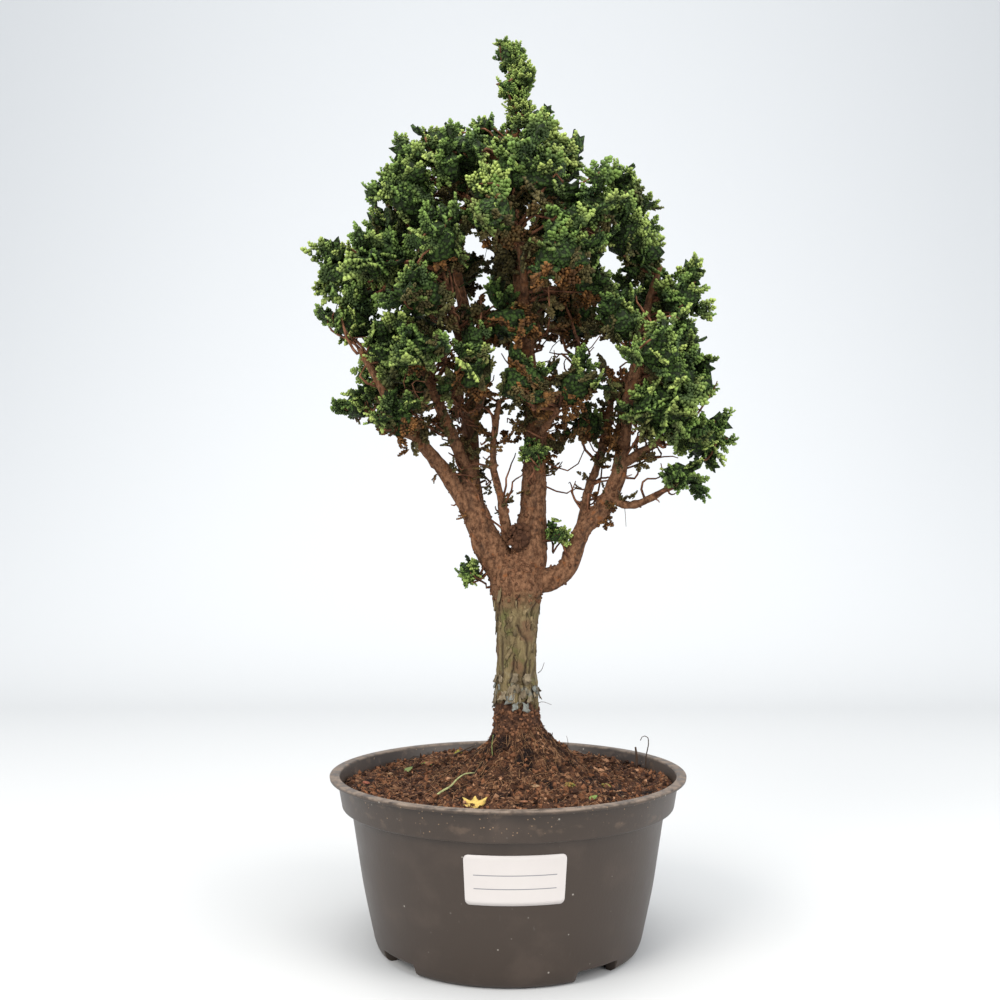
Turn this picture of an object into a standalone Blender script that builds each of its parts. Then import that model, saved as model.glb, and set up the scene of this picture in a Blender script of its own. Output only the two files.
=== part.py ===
"""A hinoki cypress bonsai that stands in its round nursery pot.

Metres, +Z up. The pieces are worked out about the pot's own axis, with the pot standing on z = 0
and its labelled side towards -Y. One empty then carries them all sideways, so that the middle of
the whole plant's box is over the origin.
"""

import math

import bmesh
import bpy
import numpy as np
from mathutils import Vector
from mathutils.bvhtree import BVHTree

MM = 0.001
FIT_GAP = 0.3 * MM

# The pot is a turned, thin-walled plastic bowl pot.
POT_SIDES = 32
RIM_RADIUS = 98.0 * MM
RIM_HEIGHT = 93.0 * MM
RIM_LIP = 2.0 * MM
RIM_WIDTH = 5.4 * MM
COLLAR_TOP_RADIUS = 93.6 * MM
COLLAR_FOOT_RADIUS = 91.0 * MM
COLLAR_FOOT_HEIGHT = 76.0 * MM
BODY_TOP_RADIUS = 86.0 * MM
BODY_MID_RADIUS = 79.5 * MM
BODY_MID_HEIGHT = 34.0 * MM
BODY_FOOT_RADIUS = 73.3 * MM
BODY_FOOT_HEIGHT = 5.8 * MM
FOOT_RADIUS = 69.0 * MM
WALL = 1.8 * MM
FLOOR_TOP = 8.6 * MM
FLOOR_UNDER = 6.9 * MM
SKIRT_INNER_RADIUS = 65.8 * MM
POT_COLOUR = (0.022, 0.021, 0.021)
POT_CREASE = math.radians(32)
DRAIN_NOTCHES = 4
DRAIN_NOTCH_TURN = math.radians(38.3)
DRAIN_NOTCH_WIDTH = 26.0 * MM
DRAIN_NOTCH_HEIGHT = 6.5 * MM
DRAIN_HOLE_RADIUS = 5.0 * MM
DRAIN_NOTCH_LENGTH = 20.0 * MM
DRAIN_HOLE_PITCH_RADIUS = 50.0 * MM
DRAIN_HOLE_SIDES = 8
CUT_SPARE = 2.0 * MM

# The label is a plain sticker on the front of the wall.
LABEL_WIDTH = 50.0 * MM
LABEL_HEIGHT = 25.0 * MM
LABEL_CORNER = 2.5 * MM
LABEL_MIDDLE_HEIGHT = 56.4 * MM
LABEL_TURN = math.radians(2.0)
LABEL_THICKNESS = 0.3 * MM
LABEL_COLOUR = (0.80, 0.80, 0.80)

# The soil fills the pot and rises to the trunk, which stands in a plain hole.
TRUNK_X = 5.0 * MM
TRUNK_BURIED_FOOT = 78.0 * MM
SOIL_EDGE_HEIGHT = 87.0 * MM
SOIL_EDGE_DIP = 2.0 * MM
SOIL_MOUND_HEIGHT = 19.0 * MM
SOIL_MOUND_SPREAD = 33.0 * MM
SOIL_MOUND_X = 8.6 * MM
SOIL_MOUND_Y = 2.7 * MM
SOIL_BANK_RADIUS = 13.0 * MM
SOIL_BANK_HEIGHT = 13.0 * MM
SOIL_BANK_SPREAD = 7.5 * MM
SOIL_WALL_GAP = 1.2 * FIT_GAP
SOIL_HOLE_RADIUS = 16.9 * MM
SOIL_CRUMB = 0.9 * MM
SOIL_TOP_RINGS = 6
SOIL_SEED = 7
SOIL_COLOUR = (0.085, 0.045, 0.028)
SOIL_CREASE = math.radians(40)

# Each limb is a run of points x, y, z and radius in millimetres, from its root to its tip.
TRUNK = [
    (5, 0, 78, 15.4), (5, 0, 106, 16), (5, 0, 113, 14), (4.8, 0, 124, 12.9), (4.6, 0, 142, 11.9),
    (4.8, 0, 162, 11.6), (5, 0, 180, 12.6), (5, 0, 192, 15.4), (5, 0, 203, 15.6), (5, 0, 212, 10),
]
LIMBS = {
    "leader": [
        (8, 0, 197, 10), (11, 0, 212, 10.4), (13, 1, 226, 8.7), (14, 2, 240, 7.2), (15, 2, 262, 6.4),
        (15.5, 3, 286, 6.1), (12, 4, 312, 5.2), (8.5, 5, 346, 4.4), (6, 5, 380, 3.7),
        (5, 5, 414, 3), (4.5, 4, 448, 2.2), (3.5, 3, 470, 1.6), (0, 3, 485, 1.1),
    ],
    "left": [(1, 0, 197, 10), (-7, -1, 211, 9.5), (-15, -2, 227, 8), (-21, -2, 242, 7), (-22, 0, 256, 5.6)],
    "left_outer": [
        (-19, -3, 232, 5.2), (-34, -8, 257, 4.2), (-47, -14, 273, 3.6), (-58, -20, 288, 3),
        (-70, -24, 306, 2.4), (-80, -26, 324, 1.8),
    ],
    "left_upright": [
        (-20, -1, 243, 6), (-21, 3, 262, 5), (-21, 6, 290, 4.7), (-17, 8, 306, 4.5), (-21, 8, 331, 4.1),
        (-25, 8, 352, 3.5), (-30, 8, 378, 2.8), (-34, 6, 404, 2.2), (-37, 3, 428, 1.6),
    ],
    "left_cross": [(-22, -1, 256, 4), (-31, -8, 279, 3.2), (-38, -16, 295, 2.7), (-46, -26, 315, 2.2)],
    "middle": [
        (0, -3, 220, 3.6), (-4, -6, 244, 2.4), (-8, -8, 259, 2.1), (-8, -12, 276, 1.9), (-5, -20, 296, 1.5),
    ],
    "right": [
        (12, 0, 197, 8), (23, -1, 199, 6.3), (32, -1, 204, 5.6), (37, -1, 215, 5.2), (42, -2, 227, 5.1),
        (53, -2, 239, 5), (61, -3, 256, 4.5), (65, -3, 280, 3.8), (67, -3, 300, 3.4), (74, -1, 328, 2.8),
        (80, 2, 356, 2.2), (86, 4, 376, 1.6),
    ],
    "right_side": [
        (41, -2, 228, 3.4), (45, 3, 248, 2.5), (52, 7, 267, 2.4), (57, 9, 290, 2.1), (61, 14, 314, 1.7),
    ],
    "right_low": [(56, -4, 244, 2.8), (66, -8, 240, 2.2), (77, -12, 243, 1.9), (92, -14, 252, 1.4)],
    "right_out": [(62, -3, 262, 3), (75, -6, 270, 2.4), (89, -8, 279, 1.9), (102, -8, 290, 1.4)],
    "back_left": [(-21, 7, 284, 3.4), (-28, 26, 300, 2.7), (-36, 44, 322, 2.1), (-42, 56, 345, 1.6)],
    "back_middle": [(12, 5, 308, 3.6), (10, 26, 326, 2.8), (6, 44, 350, 2.2), (4, 56, 374, 1.6)],
    "back_right": [(15, 4, 280, 3.6), (26, 24, 298, 2.7), (36, 40, 316, 2.1), (44, 52, 338, 1.6)],
    "back_high": [(5, 5, 404, 2.4), (6, 24, 420, 1.9), (4, 36, 434, 1.4)],
    "front_middle": [(10, 4, 328, 3.2), (10, -18, 344, 2.5), (8, -36, 362, 2), (5, -50, 384, 1.5)],
    "front_high": [(5, 5, 398, 2.6), (0, -14, 414, 2), (-8, -30, 430, 1.5)],
    "front_left": [(-17, 7, 308, 3), (-24, -16, 324, 2.4), (-30, -32, 342, 1.9), (-34, -44, 362, 1.5)],
    "front_low": [(15, 2, 272, 2.9), (20, -16, 282, 2.2), (27, -28, 292, 1.6)],
    "left_wide": [(-23, 8, 340, 3), (-42, 2, 348, 2.4), (-62, -2, 358, 1.9), (-78, -4, 368, 1.4)],
    "left_high": [(6, 5, 384, 2.8), (-12, 2, 402, 2.3), (-30, -2, 420, 1.8), (-44, -3, 434, 1.4)],
    "left_low": [(-48, -15, 275, 2.4), (-62, -15, 282, 1.9), (-76, -13, 290, 1.3)],
    "right_high": [(7, 5, 358, 3), (24, 2, 376, 2.5), (42, -2, 392, 2), (56, -4, 406, 1.5)],
    "right_front": [(66, -3, 292, 2.8), (70, -20, 308, 2), (73, -32, 326, 1.5)],
    "right_back": [(70, -2, 308, 2.8), (75, 18, 324, 2), (80, 32, 342, 1.5)],
}
TRUNK_SIDES = 12
THICK_LIMB_SIDES = 8
THIN_LIMB_SIDES = 6
THICK_LIMB_RADIUS = 4.5
SMALL_LIMB_SIDES = 5
SMALL_LIMB_RADIUS = 3.1
BARK_COLOUR = (0.155, 0.085, 0.058)
BARK_CREASE = math.radians(50)

# Each leafy spray has its head at a point x, y, z, with a reach that comes fourth, in millimetres.
SPRAYS = [
    (1, 2, 495, 12), (9, 1, 482, 11), (2, 0, 470, 11), (16, 3, 457, 14), (-9, -4, 441, 18),
    (-42, -2, 439, 18), (-57, -4, 421, 24), (-22, -30, 429, 24), (26, -2, 431, 24), (58, -4, 408, 25),
    (64, -20, 386, 26), (-68, -8, 390, 25), (-88, -3, 369, 23), (-86, -12, 340, 24), (-70, -26, 316, 25),
    (-82, -13, 294, 17), (-56, -26, 281, 21), (82, 3, 379, 23), (94, 0, 356, 25), (92, -8, 332, 23),
    (104, -4, 306, 21), (94, -20, 306, 22), (101, -12, 277, 22), (92, -22, 254, 17), (47, 3, 284, 17),
    (-46, -40, 318, 26), (-20, -38, 310, 25), (6, -34, 302, 25), (34, -33, 301, 24), (-4, -56, 386, 28),
    (-36, -54, 371, 24), (24, -52, 368, 28), (-40, -42, 346, 26), (-50, -36, 402, 28), (-24, -44, 410, 27),
    (10, -38, 413, 28), (40, -36, 395, 28), (-66, -32, 366, 27), (42, -30, 358, 23), (60, -32, 336, 22),
    (76, -38, 316, 25), (80, -34, 288, 24), (14, -14, 268, 10), (-21, -3, 203, 11), (28, -4, 224, 11),
    (-50, 42, 342, 30), (-66, 28, 376, 31), (-34, 50, 384, 31), (8, 62, 372, 31), (40, 50, 350, 30),
    (34, 34, 402, 31), (-16, 30, 428, 30), (80, 34, 350, 29), (84, 26, 312, 28), (-60, 20, 308, 29),
    (2, -24, 338, 27),
]
SPRAY_SEED = 7
SPRAY_FANS = 3
FAN_TRIES = 60
TWIG_TRIES = 60
ROOT_STRIDE = 3
HEAD_TRIES = 40
FAN_SHARE = 0.72
FAN_ROOT_SHARE = 0.62
HEAD_SHARE = 0.6
HEAD_STEP = 1.0 * MM
HEAD_STEPS = 10
HEAD_SHRINK = 0.018
HEAD_SWELL = 1.05
HEAD_SWELLS = 6
HEAD_AXES = np.array([0.95, 1.1, 0.85])
HEAD_CORNERS = (0.8, 1.35)
TWIG_SIDES = 3
TWIG_ROOT_RADIUS = 1.3 * MM
TWIG_TIP_RADIUS = 0.9 * MM
TWIG_SAG = 0.07
TWIG_BEND = 0.12
TWIG_GAP = 0.35 * MM
RAY_SPARE = 1.0 * MM
FAN_LEAN = (0.5, 1.5)
FAN_SWERVE = 0.35
FAN_CUP = (0.25, 0.75)
LEAF_COLOUR = (0.055, 0.13, 0.035)
LEAF_CREASE = math.radians(25)
BLADE_THICKNESS = 0.8 * MM
BLADE_CLEARANCE = 0.35 * MM
PALM_SHARE = 0.46
LOBE_TURNS = np.radians(np.linspace(-116, 116, 9))
LOBE_REACHES = np.array([0.51, 0.35, 0.56, 0.36, 0.54, 0.36, 0.56, 0.35, 0.51])


def finish(name, material_name, colour, roughness, points, faces, smooth_angle=None):
    """Put points and faces in one named object with its own material."""
    mesh = bpy.data.meshes.new(name)
    mesh.from_pydata([tuple(p) for p in points], [], [tuple(f) for f in faces])
    mesh.validate()
    return dress(name, mesh, material_name, colour, roughness, smooth_angle)


def dress(name, mesh, material_name, colour, roughness, smooth_angle=None):
    """Make the object of a mesh, with a Principled material and, where asked, smooth shading."""
    material = bpy.data.materials.get(material_name)
    if material is None:
        material = bpy.data.materials.new(material_name)
        material.use_nodes = True
        shader = material.node_tree.nodes["Principled BSDF"]
        shader.inputs["Base Color"].default_value = (*colour, 1.0)
        shader.inputs["Roughness"].default_value = roughness
        shader.inputs["Metallic"].default_value = 0.0
    mesh.materials.clear()
    mesh.materials.append(material)
    if smooth_angle is not None:
        mesh.shade_smooth()
        mesh.set_sharp_from_angle(angle=smooth_angle)
    piece = bpy.data.objects.new(name, mesh)
    bpy.context.scene.collection.objects.link(piece)
    return piece


def turned(rings, sides):
    """Close a run of rings, each (x centre, radius, heights), between a first and a last pole point."""
    turns = 2 * math.pi * np.arange(sides) / sides
    points = []
    for centre, radius, heights in rings:
        ring = np.zeros((sides, 3))
        ring[:, 0] = centre + radius * np.sin(turns)
        ring[:, 1] = -radius * np.cos(turns)
        ring[:, 2] = heights
        points.append(ring)
    faces = []
    for band in range(len(rings) - 1):
        for side in range(sides):
            after = (side + 1) % sides
            low = band * sides
            high = low + sides
            faces.append((low + side, low + after, high + after, high + side))
    first_pole = (rings[0][0], 0.0, float(np.mean(rings[0][2])))
    last_pole = (rings[-1][0], 0.0, float(np.mean(rings[-1][2])))
    count = len(rings) * sides
    last = count - sides
    for side in range(sides):
        after = (side + 1) % sides
        faces.append((count, after, side))
        faces.append((count + 1, last + side, last + after))
    return np.vstack(points + [np.array([first_pole, last_pole])]), faces


def tube(path, radii, sides):
    """Carry a regular polygon along a path, turned as little as possible, with flat ends."""
    path = np.asarray(path, float)
    ahead = np.gradient(path, axis=0)
    ahead /= np.linalg.norm(ahead, axis=1)[:, None]
    across = np.cross(ahead[0], (0.0, 1.0, 0.0))
    if np.linalg.norm(across) < 0.3:
        across = np.cross(ahead[0], (1.0, 0.0, 0.0))
    turns = 2 * math.pi * np.arange(sides) / sides
    points = []
    for place, direction, radius in zip(path, ahead, radii):
        across = across - direction * np.dot(across, direction)
        across /= np.linalg.norm(across)
        upward = np.cross(direction, across)
        points.append(place + radius * (np.outer(np.cos(turns), across) + np.outer(np.sin(turns), upward)))
    faces = [tuple(reversed(range(sides)))]
    for band in range(len(path) - 1):
        for side in range(sides):
            after = (side + 1) % sides
            low = band * sides
            high = low + sides
            faces.append((low + side, low + after, high + after, high + side))
    last = (len(path) - 1) * sides
    faces.append(tuple(range(last, last + sides)))
    return np.vstack(points), faces


def largest_body(mesh):
    """Keep the largest closed shell of a mesh: loose scraps go, and sealed hollows are filled."""
    shape = bmesh.new()
    shape.from_mesh(mesh)
    bmesh.ops.remove_doubles(shape, verts=shape.verts, dist=1e-6)
    bmesh.ops.triangulate(shape, faces=shape.faces)
    unseen = set(shape.verts)
    shells = []
    while unseen:
        start = unseen.pop()
        shell = {start}
        front = [start]
        while front:
            vertex = front.pop()
            for edge in vertex.link_edges:
                other = edge.other_vert(vertex)
                if other not in shell:
                    shell.add(other)
                    front.append(other)
        unseen -= shell
        shells.append(shell)
    keep = max(shells, key=len)
    bmesh.ops.delete(shape, geom=[v for v in shape.verts if v not in keep], context="VERTS")
    shape.to_mesh(mesh)
    shape.free()
    return mesh


def fused(name, solids, operation="UNION"):
    """Join solids, or cut the later ones from the first, by one Boolean with a collection."""
    group = bpy.data.collections.new(name + "_pieces")
    bpy.context.scene.collection.children.link(group)
    made = []
    for number, (points, faces) in enumerate(solids):
        mesh = bpy.data.meshes.new(f"{name}_piece_{number}")
        mesh.from_pydata([tuple(p) for p in points], [], faces)
        piece = bpy.data.objects.new(mesh.name, mesh)
        made.append(piece)
        if number:
            group.objects.link(piece)
        else:
            bpy.context.scene.collection.objects.link(piece)
    join = made[0].modifiers.new("join", "BOOLEAN")
    join.operation = operation
    join.operand_type = "COLLECTION"
    join.collection = group
    join.solver = "EXACT"
    depsgraph = bpy.context.evaluated_depsgraph_get()
    mesh = bpy.data.meshes.new_from_object(made[0].evaluated_get(depsgraph))
    mesh.name = name
    for piece in made:
        piece_mesh = piece.data
        bpy.data.objects.remove(piece)
        bpy.data.meshes.remove(piece_mesh)
    bpy.data.collections.remove(group)
    return largest_body(mesh)


def pot_inner_profile():
    """The pot's inner wall as radius and height, from the floor up to the rim's inner edge."""
    return [
        (BODY_FOOT_RADIUS - 2.0 * WALL, FLOOR_TOP),
        (BODY_FOOT_RADIUS - 0.9 * WALL, FLOOR_TOP + WALL),
        (BODY_MID_RADIUS - WALL, BODY_MID_HEIGHT),
        (BODY_TOP_RADIUS - WALL, COLLAR_FOOT_HEIGHT - 1.2 * MM),
        (COLLAR_FOOT_RADIUS - WALL, COLLAR_FOOT_HEIGHT + 2.0 * MM),
        (RIM_RADIUS - RIM_WIDTH, RIM_HEIGHT - 0.8 * MM),
    ]


def pot_outer_profile():
    """The pot's outside as radius and height, from the rim's inner edge down to the skirt's foot."""
    collar_top = RIM_HEIGHT - RIM_LIP
    return [
        (RIM_RADIUS - RIM_WIDTH + 0.8 * MM, RIM_HEIGHT),
        (RIM_RADIUS - 0.6 * MM, RIM_HEIGHT),
        (RIM_RADIUS, RIM_HEIGHT - 0.6 * MM),
        (RIM_RADIUS - 0.5 * MM, collar_top),
        (COLLAR_TOP_RADIUS, collar_top - 0.5 * MM),
        (COLLAR_FOOT_RADIUS, COLLAR_FOOT_HEIGHT + 0.6 * MM),
        (COLLAR_FOOT_RADIUS - 0.8 * MM, COLLAR_FOOT_HEIGHT),
        (BODY_TOP_RADIUS, COLLAR_FOOT_HEIGHT - 0.6 * MM),
        (BODY_MID_RADIUS, BODY_MID_HEIGHT),
        (BODY_FOOT_RADIUS, BODY_FOOT_HEIGHT),
        (FOOT_RADIUS + 2.4 * MM, 1.8 * MM),
        (FOOT_RADIUS, 0.0),
    ]


def box(middle, turn, length, width, low, high):
    """A box whose length runs outward from the pot's axis, at a turn about it."""
    outward = np.array([math.sin(turn), -math.cos(turn), 0.0])
    aside = np.array([math.cos(turn), math.sin(turn), 0.0])
    corners = []
    for height in (low, high):
        for along, side in ((-1, -1), (1, -1), (1, 1), (-1, 1)):
            place = outward * (middle + along * length / 2) + aside * (side * width / 2)
            corners.append(place + np.array([0.0, 0.0, height]))
    faces = [(3, 2, 1, 0), (4, 5, 6, 7), (0, 1, 5, 4), (1, 2, 6, 5), (2, 3, 7, 6), (3, 0, 4, 7)]
    return np.array(corners), faces


def build_pot():
    """The bowl pot: a stepped wall with a collar and flat lip, a raised floor and a notched skirt."""
    outline = [
        (SKIRT_INNER_RADIUS, FLOOR_UNDER),
        (SKIRT_INNER_RADIUS, 0.6 * MM),
        (SKIRT_INNER_RADIUS + 0.6 * MM, 0.0),
    ]
    outline += reversed(pot_outer_profile())
    outline += reversed(pot_inner_profile())
    rings = [(0.0, radius, height) for radius, height in outline]
    solids = [turned(rings, POT_SIDES)]
    for number in range(DRAIN_NOTCHES):
        turn = DRAIN_NOTCH_TURN + number * 2 * math.pi / DRAIN_NOTCHES
        notch = box(FOOT_RADIUS, turn, DRAIN_NOTCH_LENGTH, DRAIN_NOTCH_WIDTH, -CUT_SPARE, DRAIN_NOTCH_HEIGHT)
        solids.append(notch)
        middle = np.array([math.sin(turn), -math.cos(turn), 0.0]) * DRAIN_HOLE_PITCH_RADIUS
        path = [middle + (0, 0, FLOOR_UNDER - CUT_SPARE), middle + (0, 0, FLOOR_TOP + CUT_SPARE)]
        solids.append(tube(path, [DRAIN_HOLE_RADIUS] * 2, DRAIN_HOLE_SIDES))
    mesh = fused("pot", solids, "DIFFERENCE")
    dress("pot", mesh, "pot_plastic", POT_COLOUR, 0.42, POT_CREASE)


def wall_radius(height):
    """The pot's outer wall radius at a height between the foot and the collar."""
    heights = [BODY_FOOT_HEIGHT, BODY_MID_HEIGHT, COLLAR_FOOT_HEIGHT - 0.6 * MM]
    return np.interp(height, heights, [BODY_FOOT_RADIUS, BODY_MID_RADIUS, BODY_TOP_RADIUS])


def on_wall(along, height, proud):
    """The place on the faceted wall at an arc length from the front, a height and a distance out."""
    turn = LABEL_TURN + along / wall_radius(LABEL_MIDDLE_HEIGHT)
    facet = 2 * math.pi / POT_SIDES
    within = (turn % facet) - facet / 2
    radius = wall_radius(height) * math.cos(facet / 2) / math.cos(within) + proud
    return Vector((radius * math.sin(turn), -radius * math.cos(turn), height))


def build_label():
    """The sticker: a thin rounded rectangle bent over the wall's facets."""
    shape = bmesh.new()
    outline = []
    for corner, (side, end) in enumerate(((1, 1), (-1, 1), (-1, -1), (1, -1))):
        for step in range(4):
            turn = math.radians(90 * corner + 30 * step)
            outline.append((side * (LABEL_WIDTH / 2 - LABEL_CORNER) + LABEL_CORNER * math.cos(turn),
                            end * (LABEL_HEIGHT / 2 - LABEL_CORNER) + LABEL_CORNER * math.sin(turn)))
    shape.faces.new([shape.verts.new((along, up, 0.0)) for along, up in outline])
    facet_arc = 2 * math.pi / POT_SIDES * wall_radius(LABEL_MIDDLE_HEIGHT)
    first = -LABEL_TURN * wall_radius(LABEL_MIDDLE_HEIGHT)
    for number in range(-4, 5):
        bmesh.ops.bisect_plane(
            shape, geom=shape.verts[:] + shape.edges[:] + shape.faces[:],
            plane_co=(first + number * facet_arc, 0, 0), plane_no=(1, 0, 0),
        )
    bmesh.ops.triangulate(shape, faces=shape.faces)
    flat = [tuple(v.co) for v in shape.verts]
    shape.verts.index_update()
    front = [tuple(v.index for v in face.verts) for face in shape.faces]
    rim = [tuple(v.index for v in edge.verts) for edge in shape.edges if edge.is_boundary]
    shape.free()
    count = len(flat)
    points = []
    for proud in (FIT_GAP, FIT_GAP + LABEL_THICKNESS):
        points += [on_wall(along, LABEL_MIDDLE_HEIGHT + up, proud) for along, up, _ in flat]
    faces = [tuple(count + i for i in face) for face in front]
    faces += [tuple(reversed(face)) for face in front]
    solid = bmesh.new()
    verts = [solid.verts.new(p) for p in points]
    for face in faces + [(a, b, count + b, count + a) for a, b in rim]:
        solid.faces.new([verts[i] for i in face])
    bmesh.ops.recalc_face_normals(solid, faces=solid.faces)
    mesh = bpy.data.meshes.new("label")
    solid.to_mesh(mesh)
    solid.free()
    dress("label", mesh, "label_paper", LABEL_COLOUR, 0.45)


def soil_height(x, y):
    """The height of the soil: a rolling edge level, a mound that leans right, a steep bank at the trunk."""
    turn = np.arctan2(y, x)
    edge = SOIL_EDGE_HEIGHT - SOIL_EDGE_DIP * (np.sin(turn) + 0.6 * np.sin(3 * turn))
    away = np.hypot(x - SOIL_MOUND_X, y - SOIL_MOUND_Y)
    bank = np.maximum(np.hypot(x - TRUNK_X, y) - SOIL_BANK_RADIUS, 0)
    mound = SOIL_MOUND_HEIGHT * np.exp(-((away / SOIL_MOUND_SPREAD) ** 2))
    return edge + mound + SOIL_BANK_HEIGHT * np.exp(-bank / SOIL_BANK_SPREAD)


def build_soil():
    """The block of peat: it follows the pot's inner wall and floor, with the trunk's hole in its mound."""
    draw = np.random.default_rng(SOIL_SEED)
    turns = 2 * math.pi * np.arange(POT_SIDES) / POT_SIDES
    inner = pot_inner_profile()
    rises = [FIT_GAP, FIT_GAP, 0.0, FIT_GAP, 2 * FIT_GAP]
    rings = []
    for (radius, height), rise in zip(inner, rises):
        rings.append((0.0, radius - SOIL_WALL_GAP, height + rise))
    edge_radius = inner[4][0] + 0.4 * MM
    for number in range(SOIL_TOP_RINGS + 1):
        inward = (number / SOIL_TOP_RINGS) ** 0.9
        radius = edge_radius + (SOIL_HOLE_RADIUS - edge_radius) * inward
        centre = TRUNK_X * inward
        heights = soil_height(centre + radius * np.sin(turns), -radius * np.cos(turns))
        rings.append((centre, radius, heights + draw.uniform(-SOIL_CRUMB, SOIL_CRUMB, POT_SIDES)))
    rings.append((TRUNK_X, SOIL_HOLE_RADIUS, TRUNK_BURIED_FOOT - FIT_GAP))
    points, faces = turned(rings, POT_SIDES)
    finish("soil", "peat", SOIL_COLOUR, 0.95, points, faces, SOIL_CREASE)


def build_wood():
    """The trunk and every limb as one grown piece of wood."""
    trunk = np.array(TRUNK) * MM
    solids = [tube(trunk[:, :3], trunk[:, 3], TRUNK_SIDES)]
    for points in LIMBS.values():
        run = np.array(points) * MM
        thickest = points[0][3]
        sides = THICK_LIMB_SIDES if thickest > THICK_LIMB_RADIUS else THIN_LIMB_SIDES
        if thickest < SMALL_LIMB_RADIUS:
            sides = SMALL_LIMB_SIDES
        solids.append(tube(run[:, :3], run[:, 3], sides))
    mesh = fused("trunk_and_limbs", solids)
    return dress("trunk_and_limbs", mesh, "bark", BARK_COLOUR, 0.85, BARK_CREASE)


def limb_points():
    """Points every 2 mm or so along the middle of each limb, as one array."""
    found = []
    for points in LIMBS.values():
        run = np.array(points)[:, :3] * MM
        for start, end in zip(run[:-1], run[1:]):
            steps = max(2, int(np.linalg.norm(end - start) / (2 * MM)))
            found.append(start + (end - start) * np.linspace(0, 1, steps, endpoint=False)[:, None])
        found.append(run[-1:])
    return np.vstack(found)


def spray_roots(point, places):
    """The limb points that a spray may grow from, best first: near ones, with rising twigs liked better."""
    away = np.linalg.norm(places - point, axis=1)
    hanging = np.maximum(0.0, places[:, 2] - point[2] + 4 * MM)
    return places[np.argsort(away + hanging)]


def fan_solid(root, along, normal, length, cup, thickness):
    """One cupped fan blade: a root, a palm and five lobes, with triangles alike on both faces."""
    aside = np.cross(normal, along)
    palm = root + along * length * PALM_SHARE
    reach = length * LOBE_REACHES
    rim = palm + np.outer(reach * np.cos(LOBE_TURNS), along) + np.outer(reach * np.sin(LOBE_TURNS), aside)
    rim = rim + np.outer(cup * reach * LOBE_REACHES / LOBE_REACHES.max(), normal)
    sheet = np.vstack([root, rim, palm])
    count = len(sheet)
    edge = count - 1
    points = np.vstack([sheet - normal * thickness / 2, sheet + normal * thickness / 2])
    faces = []
    for i in range(edge):
        after = (i + 1) % edge
        faces.append((count + edge, count + i, count + after))
        faces.append((edge, after, i))
        faces.append((i, after, count + after))
        faces.append((i, count + after, count + i))
    return points, faces


def spray_axes(direction):
    """A spray's own axes as rows: along its twig, aside and over."""
    aside = np.cross(direction, (0.0, 0.0, 1.0))
    if np.linalg.norm(aside) < 0.3:
        aside = np.cross(direction, (0.0, 1.0, 0.0))
    aside /= np.linalg.norm(aside)
    return np.array([direction, aside, np.cross(aside, direction)])


def head_solid(spray, middle, direction, radius):
    """The dense middle of a spray: a small knobbly ball with twelve uneven corners."""
    draw = np.random.default_rng((SPRAY_SEED, spray))
    shape = bmesh.new()
    bmesh.ops.create_icosphere(shape, subdivisions=1, radius=1.0)
    points = np.array([v.co for v in shape.verts])
    faces = [tuple(v.index for v in face.verts) for face in shape.faces]
    shape.free()
    reach = draw.uniform(*HEAD_CORNERS, len(points))
    points = points * HEAD_AXES * reach[:, None] * radius
    return middle + points @ spray_axes(direction), faces


def fan_frame(spray, number, attempt, head):
    """Where one fan of a spray may grow: its root, its direction, its normal, its length and its cup.

    The fans stand round the outer side of the head, each a third of a turn on from the last.
    """
    middle, direction, radius = head
    draw = np.random.default_rng((SPRAY_SEED, spray, number, attempt))
    forward, aside, over = spray_axes(direction)
    turn = 2 * math.pi * number / SPRAY_FANS + SPRAY_SEED * spray + draw.uniform(-0.8, 0.8)
    lean = draw.uniform(*FAN_LEAN)
    out = forward * math.cos(lean) + (aside * math.cos(turn) + over * math.sin(turn)) * math.sin(lean)
    root = middle + out * radius * FAN_ROOT_SHARE
    along = out + draw.uniform(-FAN_SWERVE, FAN_SWERVE, 3)
    along /= np.linalg.norm(along)
    facing = np.array([0.0, 0.0, 1.0]) + forward * draw.uniform(0.0, 1.2) + draw.uniform(-0.7, 0.7, 3)
    normal = facing - along * np.dot(facing, along)
    normal /= np.linalg.norm(normal)
    length = SPRAYS[spray][3] * MM * FAN_SHARE * draw.uniform(0.88, 1.12)
    return root, along, normal, length, draw.uniform(*FAN_CUP)


def touches(shape, node, taken):
    """Whether a shape's surface crosses a surface that another node has taken."""
    tree = BVHTree.FromPolygons([Vector(p) for p in shape[0]], shape[1])
    middle = shape[0].mean(axis=0)
    reach = np.linalg.norm(shape[0] - middle, axis=1).max()
    for owner, other_middle, other_reach, other_tree in taken:
        if owner == node or np.linalg.norm(other_middle - middle) > reach + other_reach:
            continue
        if tree.overlap(other_tree):
            return True
    return False


def claim(shape, node):
    """The space that a node's shape fills, as an entry of the list of spaces taken."""
    middle = shape[0].mean(axis=0)
    reach = np.linalg.norm(shape[0] - middle, axis=1).max()
    tree = BVHTree.FromPolygons([Vector(p) for p in shape[0]], shape[1])
    return node, middle, reach, tree


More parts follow.
